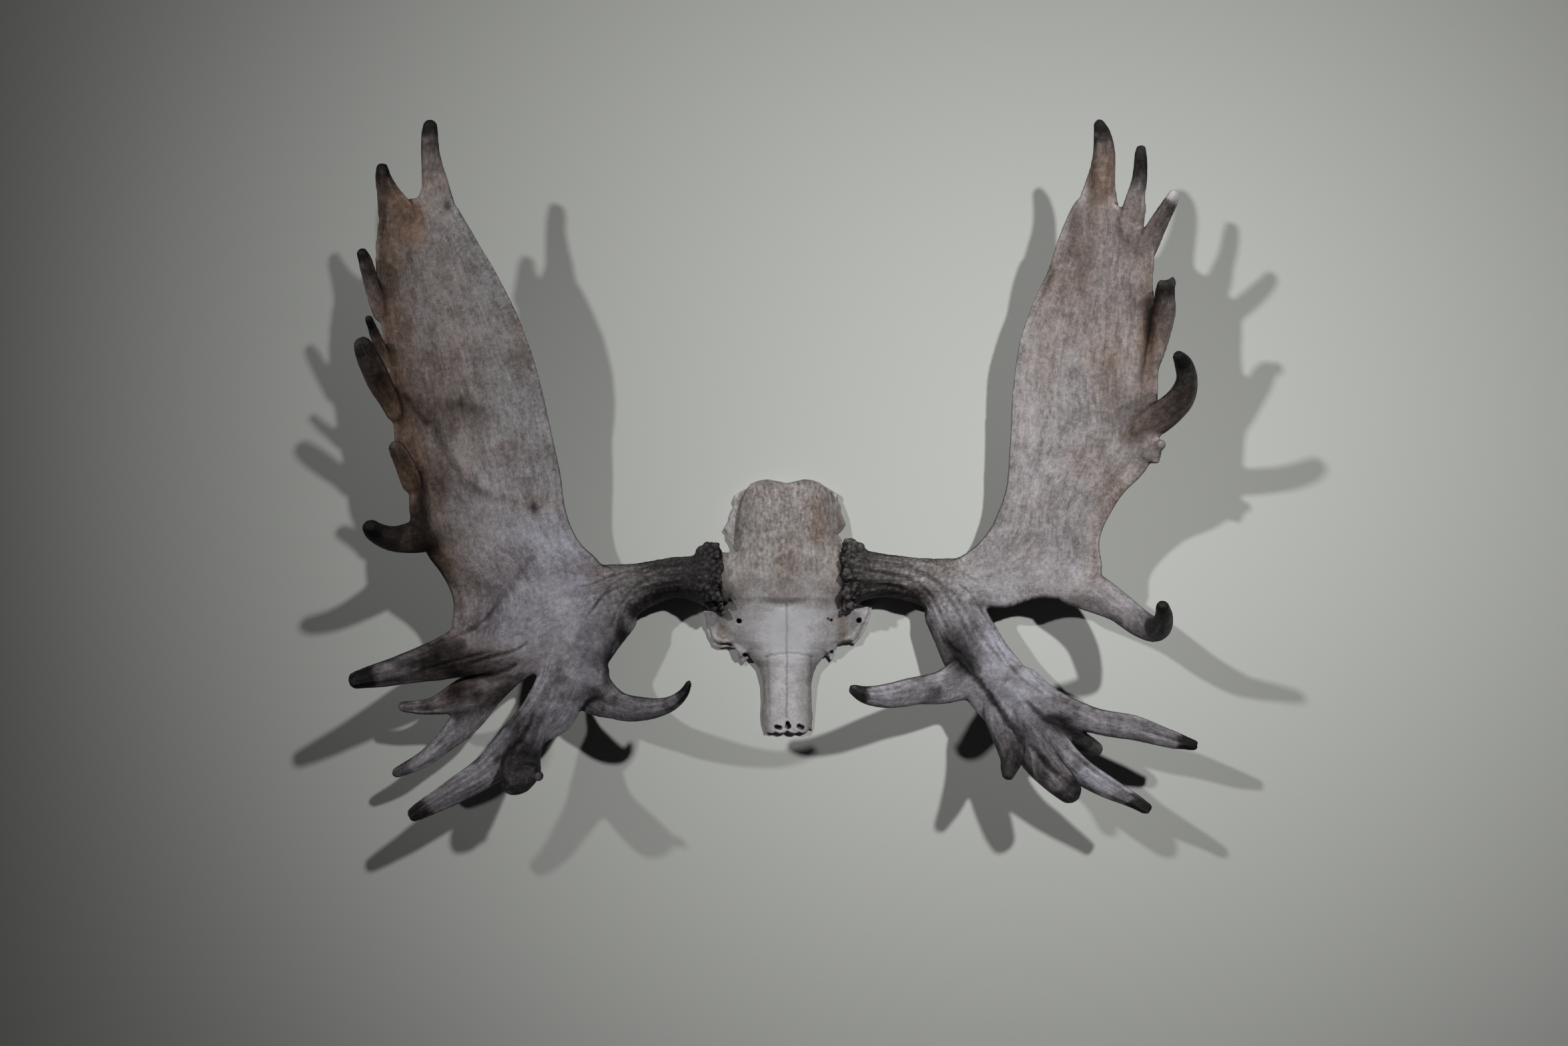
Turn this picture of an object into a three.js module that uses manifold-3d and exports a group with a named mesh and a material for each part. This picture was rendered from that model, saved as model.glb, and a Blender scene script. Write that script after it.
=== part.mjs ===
// A pair of moose antlers grown on one skull plate, lying on the sawn face of the plate.
//
// Millimetres, +Z up. The origin is on the sawn face, on the midline between the eye sockets.
// +Y runs up the braincase and -Y down the nose, so west (-X) and east (+X) name the two antlers.
// The antlers are split at their main forks, with a hairline gap at each cut.

import * as THREE from 'three';
import { mergeVertices } from 'three/addons/utils/BufferGeometryUtils.js';
import Module from 'manifold-3d';

const wasm = await Module();
wasm.setup();

// ---------------------------------------------------------------- driving dimensions

const cutGap = 0.3;
const reach = 1500;
const weldTolerance = 1e-3;

const branchSides = 10;
const branchRings = 10;
const palmSides = 14;
const palmRings = 17;
const skullSides = 14;
const skullRings = 12;

// Where the two burrs meet their pedicles, as X.
const westBurr = -84;
const eastBurr = 71;

// ---------------------------------------------------------------- solids

function solidFrom(geometry) {
  geometry.deleteAttribute('normal');
  geometry.deleteAttribute('uv');
  const welded = mergeVertices(geometry, weldTolerance);
  return new wasm.Manifold(new wasm.Mesh({
    numProp: 3,
    vertProperties: welded.attributes.position.array,
    triVerts: Uint32Array.from(welded.index.array),
  }));
}

function joined(solids) {
  return solids.reduce((whole, solid) => whole.add(solid));
}

// The half of space that lies past a point in a plan direction, half a gap clear of the cut.
function beyond([x, y], [towardX, towardY]) {
  const toward = new THREE.Vector2(towardX, towardY).normalize();
  const block = new THREE.BoxGeometry(reach, reach, reach);
  block.rotateZ(toward.angle());
  const shift = (reach + cutGap) / 2;
  block.translate(x + toward.x * shift, y + toward.y * shift, 0);
  return solidFrom(block);
}

// Cuts a solid in two across an upright plane: the first piece lies toward the direction.
function split(solid, point, direction) {
  const opposite = direction.map((component) => -component);
  return [solid.intersect(beyond(point, direction)), solid.intersect(beyond(point, opposite))];
}

// A closed sphere of vertices, each moved to place(along, angle), with along from 0 to 1.
function loft(sides, rings, place) {
  const geometry = new THREE.SphereGeometry(1, sides, rings);
  const { position } = geometry.attributes;
  for (let index = 0; index < position.count; index += 1) {
    const vertex = new THREE.Vector3().fromBufferAttribute(position, index);
    const along = Math.acos(THREE.MathUtils.clamp(vertex.y, -1, 1)) / Math.PI;
    const angle = Math.atan2(vertex.z, -vertex.x);
    const placed = place(along, angle);
    position.setXYZ(index, placed.x, placed.y, placed.z);
  }
  return solidFrom(geometry);
}

// 0 at the very end of a loft, growing to 1 over the given length, as a round end does.
function roundEnd(distance, length) {
  const inside = Math.max(0, 1 - distance / length);
  return Math.sqrt(Math.max(0, 1 - inside * inside));
}

// ---------------------------------------------------------------- antler shapes

// A round or flattened branch. Each point is [x, y, z, half width in plan, half thickness].
function branch(points) {
  const spine = new THREE.CatmullRomCurve3(points.map(([x, y, z]) => new THREE.Vector3(x, y, z)));
  const sizes = new THREE.CatmullRomCurve3(
    points.map(([, , , width, thickness]) => new THREE.Vector3(width, thickness, 0)),
  );
  const length = spine.getLength();
  const up = new THREE.Vector3(0, 0, 1);
  return loft(branchSides, branchRings, (along, angle) => {
    const eased = (1 - Math.cos(along * Math.PI)) / 2;
    const centre = spine.getPoint(eased);
    const size = sizes.getPoint(eased);
    const travel = spine.getTangent(eased);
    const side = new THREE.Vector3().crossVectors(travel, up).normalize();
    const over = new THREE.Vector3().crossVectors(side, travel);
    const end = roundEnd(Math.min(eased, 1 - eased) * length, size.x);
    return centre
      .addScaledVector(side, size.x * end * Math.cos(angle))
      .addScaledVector(over, size.y * end * Math.sin(angle));
  });
}

// A cupped palm between its two edges, from the fork to the top.
// Each station is [west x, y, z, east x, y, z, sag of the middle, half thickness].
// The surface stays low by its inner edge and rises late, toward the edge that carries tines.
function palm(stations, innerIsEast) {
  const cupping = 1.7;
  const rimSharpness = 0.6;
  const endLength = 0.04;
  const curveOf = (read) => new THREE.CatmullRomCurve3(
    stations.map((row) => new THREE.Vector3(...read(row))),
  );
  const west = curveOf((row) => row.slice(0, 3));
  const east = curveOf((row) => row.slice(3, 6));
  const body = curveOf((row) => [row[6], row[7], 0]);
  return loft(palmSides, palmRings, (along, angle) => {
    const westPoint = west.getPoint(along);
    const eastPoint = east.getPoint(along);
    const { x: sag, y: thickness } = body.getPoint(along);
    const end = roundEnd(Math.min(along, 1 - along), endLength);
    const eastward = (1 + end * Math.cos(angle)) / 2;
    const outward = innerIsEast ? 1 - eastward : eastward;
    const inner = innerIsEast ? eastPoint : westPoint;
    const outer = innerIsEast ? westPoint : eastPoint;
    const placed = westPoint.clone().lerp(eastPoint, eastward);
    placed.z = THREE.MathUtils.lerp(inner.z, outer.z, outward ** cupping);
    placed.z -= sag * 4 * outward * (1 - outward);
    const rise = cupping * (outer.z - inner.z) * outward ** (cupping - 1);
    const run = eastPoint.distanceTo(westPoint);
    const slope = (innerIsEast ? -1 : 1) * (rise / run);
    const normal = new THREE.Vector3(-slope, 0, 1).normalize();
    const fullness = Math.sign(Math.sin(angle)) * Math.abs(Math.sin(angle)) ** rimSharpness;
    return placed.addScaledVector(normal, thickness * end * fullness);
  });
}

// ---------------------------------------------------------------- west antler

const westBeam = branch([
  [-70, 31, 36, 39, 31], [-98, 30, 36, 37, 30], [-112, 30, 32, 31, 27], [-143, 31, 27, 26, 23],
  [-181, 22, 31, 28, 23], [-232, 6, 42, 42, 20], [-268, -6, 50, 42, 17],
]);

const westPalmSheet = palm([
  [-424, -52, 98, -219, -62, 50, 4, 15], [-414, 0, 106, -215, 15, 43, 6, 15],
  [-426, 36, 122, -242, 55, 49, 8, 14], [-442, 63, 138, -263, 76, 55, 10, 12],
  [-451, 112, 152, -280, 117, 60, 12, 10], [-461, 154, 158, -286, 159, 65, 14, 9],
  [-477, 201, 164, -294, 205, 76, 15, 8], [-479, 249, 168, -304, 255, 86, 15, 8],
  [-485, 294, 171, -314, 297, 100, 14, 7.5], [-492, 338, 173, -330, 344, 115, 13, 7],
  [-497, 383, 173, -349, 388, 128, 11, 7], [-499, 423, 171, -367, 427, 140, 9, 7],
  [-500, 460, 168, -392, 466, 147, 7, 7], [-490, 498, 165, -412, 506, 150, 4, 7],
], true);

// The seven tines of the west palm, from the top down its outer edge.
const westPalmTines = [
  [
    [-428, 463, 148, 28, 8], [-429, 508, 150, 19, 8], [-432, 545, 151, 13, 8],
    [-433, 574, 152, 10, 7], [-434, 595, 153, 7, 6],
  ],
  [[-464, 461, 162, 26, 8], [-482, 500, 166, 17, 8], [-490, 521, 171, 8, 7], [-490, 536, 174, 6, 5]],
  [[-485, 362, 172, 12, 8], [-499, 394, 181, 9, 7], [-506, 414, 190, 8, 7], [-511, 430, 195, 6, 5]],
  [[-472, 280, 158, 11, 8], [-486, 315, 185, 7, 6], [-496, 335, 200, 6, 6], [-501, 351, 210, 5, 5]],
  [
    [-458, 226, 150, 15, 8], [-476, 257, 174, 16, 9], [-493, 286, 200, 17, 9],
    [-502, 307, 215, 13, 9], [-506, 320, 224, 8, 7],
  ],
  [[-444, 145, 138, 18, 9], [-462, 174, 168, 14, 8], [-475, 198, 197, 10, 8]],
  [
    [-419, 101, 122, 22, 9], [-452, 87, 152, 17, 11], [-476, 83, 190, 15, 13],
    [-489, 91, 220, 13, 12], [-494, 100, 237, 9, 8],
  ],
].map(branch);

const westBrowTrunk = branch([
  [-215, 15, 42, 40, 20], [-245, -27, 48, 44, 18], [-270, -69, 55, 40, 17], [-285, -107, 66, 34, 15],
  [-299, -134, 78, 34, 14], [-322, -156, 88, 27, 14], [-341, -180, 100, 26, 15], [-372, -207, 116, 19, 13],
  [-410, -230, 137, 16, 11], [-441, -247, 146, 12, 9], [-463, -260, 150, 8, 7],
]);

const westBrowStub = branch([
  [-318, -146, 84, 21, 14], [-328, -185, 112, 22, 15], [-326, -207, 154, 25, 17], [-322, -216, 180, 20, 16],
]);

const westBrowTines = [
  [
    [-286, -12, 55, 44, 15], [-372, -47, 76, 40, 14], [-428, -68, 112, 26, 14],
    [-468, -78, 160, 17, 13], [-500, -84, 195, 11, 10], [-523, -89, 212, 7, 6],
  ],
  [[-365, -106, 76, 24, 10], [-406, -120, 81, 20, 9], [-449, -130, 84, 11, 7], [-488, -130, 86, 6, 5]],
  [
    [-291, -48, 56, 40, 14], [-336, -78, 62, 30, 12], [-372, -110, 70, 26, 11],
    [-402, -145, 76, 21, 10], [-428, -173, 79, 14, 10], [-460, -198, 80, 10, 9], [-496, -216, 82, 7, 6],
  ],
].map(branch);

const westInnerTineShape = branch([
  [-264, -52, 54, 36, 15], [-250, -105, 63, 32, 14], [-212, -129, 86, 18, 13], [-173, -130, 115, 14, 12],
  [-143, -122, 140, 10, 9], [-126, -108, 155, 7, 7], [-117, -92, 166, 4, 4],
]);

const westWhole = joined([
  westBeam, westPalmSheet, ...westPalmTines, westBrowTrunk, westBrowStub, ...westBrowTines, westInnerTineShape,
]);

const [westUpper, westLower] = split(westWhole, [-300, -27], [0.06, 1]);
const [westPalmSolid, westBeamPiece] = split(westUpper, [-208, 0], [-1, 0]);
const [westBeamSolid] = split(westBeamPiece, [westBurr, 0], [-1, 0]);
const [westInnerTineSolid, westBrow] = split(westLower, [-243, -110], [1, -0.35]);
const [westBrowForkSolid, westBrowPalmSolid] = split(westBrow, [-300, -139], [0.5, -1]);

// ---------------------------------------------------------------- east antler

const eastBeam = branch([
  [57, 33, 36, 39, 31], [86, 34, 36, 37, 30], [102, 34, 32, 31, 27], [138, 32, 26, 26, 22],
  [174, 26, 28, 29, 22], [230, 16, 36, 40, 20], [262, 10, 40, 40, 17],
]);

const eastPalmSheet = palm([
  [186, 49, 34, 255, -23, 38, 0, 18], [218, 56, 38, 322, 2, 40, 3, 16],
  [252, 84, 44, 371, 7, 54, 6, 14], [270, 117, 50, 397, 35, 68, 9, 12],
  [279, 150, 54, 394, 80, 80, 11, 10], [282, 180, 56, 415, 130, 98, 13, 9],
  [284, 214, 58, 445, 167, 120, 15, 8.5], [285, 252, 60, 459, 207, 131, 15, 8],
  [287, 290, 64, 456, 249, 136, 14, 8], [294, 331, 71, 457, 296, 139, 13, 7.5],
  [309, 377, 80, 455, 349, 141, 12, 7], [325, 413, 90, 450, 394, 141, 10, 7],
  [336, 449, 100, 453, 433, 140, 8, 7], [350, 484, 110, 449, 466, 138, 6, 7],
  [366, 514, 119, 422, 502, 132, 3, 7],
], false);

// The six tines of the east palm, from the top down its outer edge.
const eastPalmTines = [
  [
    [391, 463, 116, 36, 8], [389, 506, 121, 26, 8], [390, 549, 125, 16, 8],
    [387, 576, 127, 11, 7], [383, 597, 129, 5, 5],
  ],
  [[422, 457, 130, 16, 8], [430, 502, 137, 12, 7], [434, 534, 141, 9, 7], [434, 559, 143, 5, 5]],
  [[434, 419, 138, 20, 8], [452, 457, 147, 13, 8], [465, 483, 152, 10, 7], [473, 503, 156, 5, 5]],
  [[452, 305, 137, 12, 8], [458, 340, 146, 15, 8], [461, 366, 155, 14, 8], [461, 396, 168, 10, 8]],
  [
    [424, 205, 106, 24, 9], [455, 226, 134, 19, 10], [477, 250, 165, 17, 12],
    [481, 272, 190, 13, 12], [473, 290, 210, 11, 10], [462, 302, 223, 6, 6],
  ],
  [[431, 178, 116, 16, 8], [452, 184, 127, 12, 8], [462, 188, 134, 8, 7]],
].map(branch);

const eastLowerTineShape = branch([
  [342, 35, 50, 34, 12], [386, 13, 64, 25, 13], [419, -6, 84, 19, 14], [441, -25, 108, 17, 14],
  [455, -30, 136, 15, 13], [455, -14, 180, 11, 10], [446, 4, 220, 7, 7],
]);

const eastBrowTrunk = branch([
  [212, 12, 36, 48, 20], [227, -32, 42, 40, 18], [244, -72, 51, 40, 17], [272, -112, 65, 42, 16],
  [302, -147, 81, 36, 15], [334, -184, 96, 24, 13], [366, -209, 106, 17, 12], [400, -229, 112, 14, 11],
  [431, -245, 117, 10, 9], [450, -257, 119, 7, 7],
]);

const eastBrowTines = [
  [
    [276, -94, 62, 34, 14], [328, -127, 78, 24, 13], [385, -147, 92, 16, 12],
    [434, -156, 98, 15, 11], [479, -169, 102, 11, 9], [513, -178, 104, 6, 6],
  ],
  [[289, -151, 84, 26, 14], [314, -193, 112, 22, 15], [337, -219, 135, 19, 15], [355, -238, 150, 13, 12]],
  [[262, -115, 68, 25, 14], [274, -160, 100, 20, 14], [277, -186, 130, 16, 13], [272, -206, 147, 11, 10]],
  [[318, -140, 80, 18, 10], [350, -163, 80, 14, 9], [377, -178, 81, 12, 9], [396, -188, 82, 8, 7]],
].map(branch);

const eastInnerTineShape = branch([
  [246, -86, 56, 32, 15], [202, -105, 72, 23, 14], [161, -109, 100, 18, 13],
  [126, -113, 122, 15, 12], [96, -110, 142, 10, 9], [76, -100, 153, 5, 5],
]);

const eastWhole = joined([
  eastBeam, eastPalmSheet, ...eastPalmTines, eastLowerTineShape, eastBrowTrunk, ...eastBrowTines,
  eastInnerTineShape,
]);

const [eastUpper, eastLower] = split(eastWhole, [200, -27], [0.13, 1]);
const [eastLowerTineSolid, eastRest] = split(eastUpper, [375, 15], [0.85, -0.5]);
const [eastBeamPiece, eastPalmSolid] = split(eastRest, [196, 0], [-1, 0]);
const [eastBeamSolid] = split(eastBeamPiece, [eastBurr, 0], [1, 0]);
const [eastInnerTineSolid, eastBrowPalmSolid] = split(eastLower, [205, -100], [-0.9, -0.4]);

// ---------------------------------------------------------------- skull plate

// A block of bone with a flat face at z = 0. Each station is [y, half width, height].
function plate(stations) {
  const sideFullness = 0.75;
  const crownFullness = 0.7;
  const endLength = 0.012;
  const profile = new THREE.CatmullRomCurve3(
    stations.map(([y, width, height]) => new THREE.Vector3(width, y, height)),
  );
  return loft(skullSides, skullRings, (along, angle) => {
    const eased = (1 - Math.cos(along * Math.PI)) / 2;
    const { x: width, y, z: height } = profile.getPoint(eased);
    const end = roundEnd(Math.min(eased, 1 - eased), endLength);
    const sideways = Math.sign(Math.cos(angle)) * Math.abs(Math.cos(angle)) ** sideFullness;
    const crown = Math.max(0, Math.sin(angle)) ** crownFullness;
    return new THREE.Vector3(-width * end * sideways, y, height * end * crown);
  });
}

function hollow([x, y], [radiusX, radiusY, radiusZ]) {
  const ball = new THREE.SphereGeometry(1, 12, 8);
  ball.scale(radiusX, radiusY, radiusZ);
  ball.translate(x, y, 0);
  return solidFrom(ball);
}

const braincaseAndNose = plate([
  [158, 50, 22], [148, 58, 31], [126, 60, 43], [87, 61, 53], [52, 66, 61], [20, 67, 63],
  [-6, 68, 59], [-22, 82, 50], [-46, 82, 40], [-66, 62, 32], [-85, 38, 26], [-108, 33, 22],
  [-140, 33, 18], [-172, 31, 13],
]);

const napeFlange = plate([[146, 60, 9], [125, 70, 10], [95, 73, 12], [70, 66, 16]]);

const eyeSockets = plate([[-6, 86, 24], [-18, 106, 20], [-32, 104, 19], [-48, 97, 18], [-64, 82, 17]]);

const westPedicle = branch([[-30, 31, 34, 26, 22], [-60, 31, 35, 30, 25], [-100, 31, 35, 31, 28]]);
const eastPedicle = branch([[20, 33, 34, 26, 22], [48, 33, 35, 30, 25], [88, 33, 35, 31, 28]]);

const braincaseHollow = hollow([0, 92], [38, 46, 28]);
const nasalHollow = hollow([0, -112], [16, 44, 11]);

const skullSolid = joined([
  braincaseAndNose,
  napeFlange,
  eyeSockets,
  westPedicle.intersect(beyond([westBurr, 0], [1, 0])),
  eastPedicle.intersect(beyond([eastBurr, 0], [-1, 0])),
]).subtract(braincaseHollow).subtract(nasalHollow);

// ---------------------------------------------------------------- scene graph

const boneCream = new THREE.MeshStandardMaterial({ color: 0xc9c0ae, roughness: 0.75, metalness: 0 });
const palmGrey = new THREE.MeshStandardMaterial({ color: 0xa3958d, roughness: 0.6, metalness: 0 });
const beamBrown = new THREE.MeshStandardMaterial({ color: 0x54473f, roughness: 0.65, metalness: 0 });
const browGrey = new THREE.MeshStandardMaterial({ color: 0x857a78, roughness: 0.6, metalness: 0 });
const tineBrown = new THREE.MeshStandardMaterial({ color: 0x6a5c57, roughness: 0.6, metalness: 0 });

function meshFrom(name, solid, material) {
  const { vertProperties, triVerts } = solid.getMesh();
  const geometry = new THREE.BufferGeometry();
  geometry.setAttribute('position', new THREE.BufferAttribute(vertProperties, 3));
  geometry.setIndex(new THREE.BufferAttribute(triVerts, 1));
  geometry.computeVertexNormals();
  const mesh = new THREE.Mesh(geometry, material);
  mesh.name = name;
  return mesh;
}

const antlers = new THREE.Group();
antlers.add(
  meshFrom('skull', skullSolid, boneCream),
  meshFrom('left_beam', westBeamSolid, beamBrown),
  meshFrom('left_main_palm', westPalmSolid, palmGrey),
  meshFrom('left_brow_palm', westBrowPalmSolid, browGrey),
  meshFrom('left_brow_fork', westBrowForkSolid, tineBrown),
  meshFrom('left_inner_tine', westInnerTineSolid, tineBrown),
  meshFrom('right_beam', eastBeamSolid, beamBrown),
  meshFrom('right_main_palm', eastPalmSolid, palmGrey),
  meshFrom('right_lower_tine', eastLowerTineSolid, tineBrown),
  meshFrom('right_brow_palm', eastBrowPalmSolid, browGrey),
  meshFrom('right_inner_tine', eastInnerTineSolid, tineBrown),
);

export default antlers;
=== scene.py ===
"""A pair of moose antlers grown on a sawn skull plate, seen from straight above.

Shapes are worked out in millimetres in the frame of the CAD part and become metres in each mesh.
Each antler is united from lofted branches, a palm and knobs, then given relief and tone along its
grain, with painted shade in its grooves, along its palm rims and under its arches. The skull plate
comes from a distance field.
+Y runs up the braincase, -Y down the nose, and west (-X) and east (+X) name the two antlers.
"""

import itertools
import math

import bpy
import numpy as np
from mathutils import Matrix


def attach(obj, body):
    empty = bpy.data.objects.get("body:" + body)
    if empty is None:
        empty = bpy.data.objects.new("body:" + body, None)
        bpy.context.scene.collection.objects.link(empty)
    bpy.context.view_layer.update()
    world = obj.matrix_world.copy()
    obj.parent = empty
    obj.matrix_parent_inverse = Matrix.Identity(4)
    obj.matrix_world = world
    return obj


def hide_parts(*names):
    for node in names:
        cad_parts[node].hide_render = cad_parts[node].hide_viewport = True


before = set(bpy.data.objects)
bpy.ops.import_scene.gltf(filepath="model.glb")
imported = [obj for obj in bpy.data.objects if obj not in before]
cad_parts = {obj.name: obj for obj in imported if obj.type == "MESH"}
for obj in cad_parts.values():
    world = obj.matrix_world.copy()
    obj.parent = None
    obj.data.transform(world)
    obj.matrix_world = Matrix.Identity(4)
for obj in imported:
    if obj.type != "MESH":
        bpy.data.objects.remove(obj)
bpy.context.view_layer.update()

import openvdb
from mathutils import Vector

MM = 0.001
UP = np.array([0, 0, 1])

# ---- driving dimensions, millimetres

WEST_BURR = -84
EAST_BURR = 71
BURR_CENTRE_Y = 31
ANTLER_VOXEL = 2.4
SKULL_VOXEL = 1.4
FLOW_SHIFT = 517  # between the noise of one flow's grain and the next's


# ---- numbers

def ease(low, high, value):
    """0 up to low and 1 from high on, or the other way round, with a smooth step between them."""
    part = np.clip((value - low) / (high - low), 0, 1)
    return part * part * (3 - 2 * part)


def curve(points, where):
    """A centripetal Catmull-Rom curve through the points, at each place from 0 to 1 along it."""
    knots = np.asarray(points, float)
    last = len(knots) - 1
    place = np.asarray(where, float) * last
    index = np.clip(place.astype(int), 0, last - 1)
    part = (place - index)[:, None]
    ends = np.vstack([2 * knots[0] - knots[1], knots, 2 * knots[-1] - knots[-2]])
    p0, p1, p2, p3 = (ends[index + shift] for shift in range(4))
    gap0 = np.sqrt(np.linalg.norm(p1 - p0, axis=1))[:, None]
    gap1 = np.sqrt(np.linalg.norm(p2 - p1, axis=1))[:, None]
    gap2 = np.sqrt(np.linalg.norm(p3 - p2, axis=1))[:, None]
    gap1 = np.where(gap1 < 1e-4, 1, gap1)
    gap0 = np.where(gap0 < 1e-4, gap1, gap0)
    gap2 = np.where(gap2 < 1e-4, gap1, gap2)
    leave = ((p1 - p0) / gap0 - (p2 - p0) / (gap0 + gap1) + (p2 - p1) / gap1) * gap1
    arrive = ((p2 - p1) / gap1 - (p3 - p1) / (gap1 + gap2) + (p3 - p2) / gap2) * gap1
    cubic = 2 * p1 - 2 * p2 + leave + arrive
    square = -3 * p1 + 3 * p2 - 2 * leave - arrive
    return ((cubic * part + square) * part + leave) * part + p1


def unit(vectors):
    return vectors / np.maximum(np.linalg.norm(vectors, axis=1, keepdims=True), 1e-9)


def lattice(cells, seed):
    """A repeatable random number from 0 to 1 for each cell; the large numbers only mix its bits."""
    x, y, z = cells.astype(np.int64).T.astype(np.uint32)
    mixed = x * np.uint32(73856093) ^ y * np.uint32(19349663) ^ z * np.uint32(83492791)
    mixed = mixed + np.uint32((seed * 2654435761) % 4294967296)
    mixed = (mixed ^ (mixed >> np.uint32(13))) * np.uint32(1274126177)
    mixed = (mixed ^ (mixed >> np.uint32(15))) * np.uint32(2246822519)
    return ((mixed ^ (mixed >> np.uint32(16))) & np.uint32(65535)) / 65535


def noise(points, seed):
    """Smooth noise from -1 to 1 at points given in cells."""
    cell = np.floor(points)
    part = points - cell
    smooth = part * part * (3 - 2 * part)
    total = np.zeros(len(points))
    for corner in itertools.product((0, 1), repeat=3):
        weight = np.where(np.array(corner, bool), smooth, 1 - smooth).prod(axis=1)
        total += weight * lattice(cell + corner, seed)
    return 2 * total - 1


def fractal(points, seed, octaves):
    """Noise summed over octaves, each twice as fine and half as strong as the one before."""
    total = np.zeros(len(points))
    for octave in range(octaves):
        total += noise(points * 2 ** octave, seed + octave) / 2 ** octave
    return total / (2 - 2 ** (1 - octaves))


def pearls(points, seed):
    """1 at the middle of each random bump, falling to 0 between the bumps."""
    cell = np.floor(points)
    nearest = np.full(len(points), 9)
    for corner in itertools.product((-1, 0, 1), repeat=3):
        home = cell + corner
        spot = home + np.column_stack([lattice(home, seed + axis) for axis in range(3)])
        nearest = np.minimum(nearest, np.linalg.norm(points - spot, axis=1))
    return np.clip(1 - nearest, 0, 1)


# ---- antler control points

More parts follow.
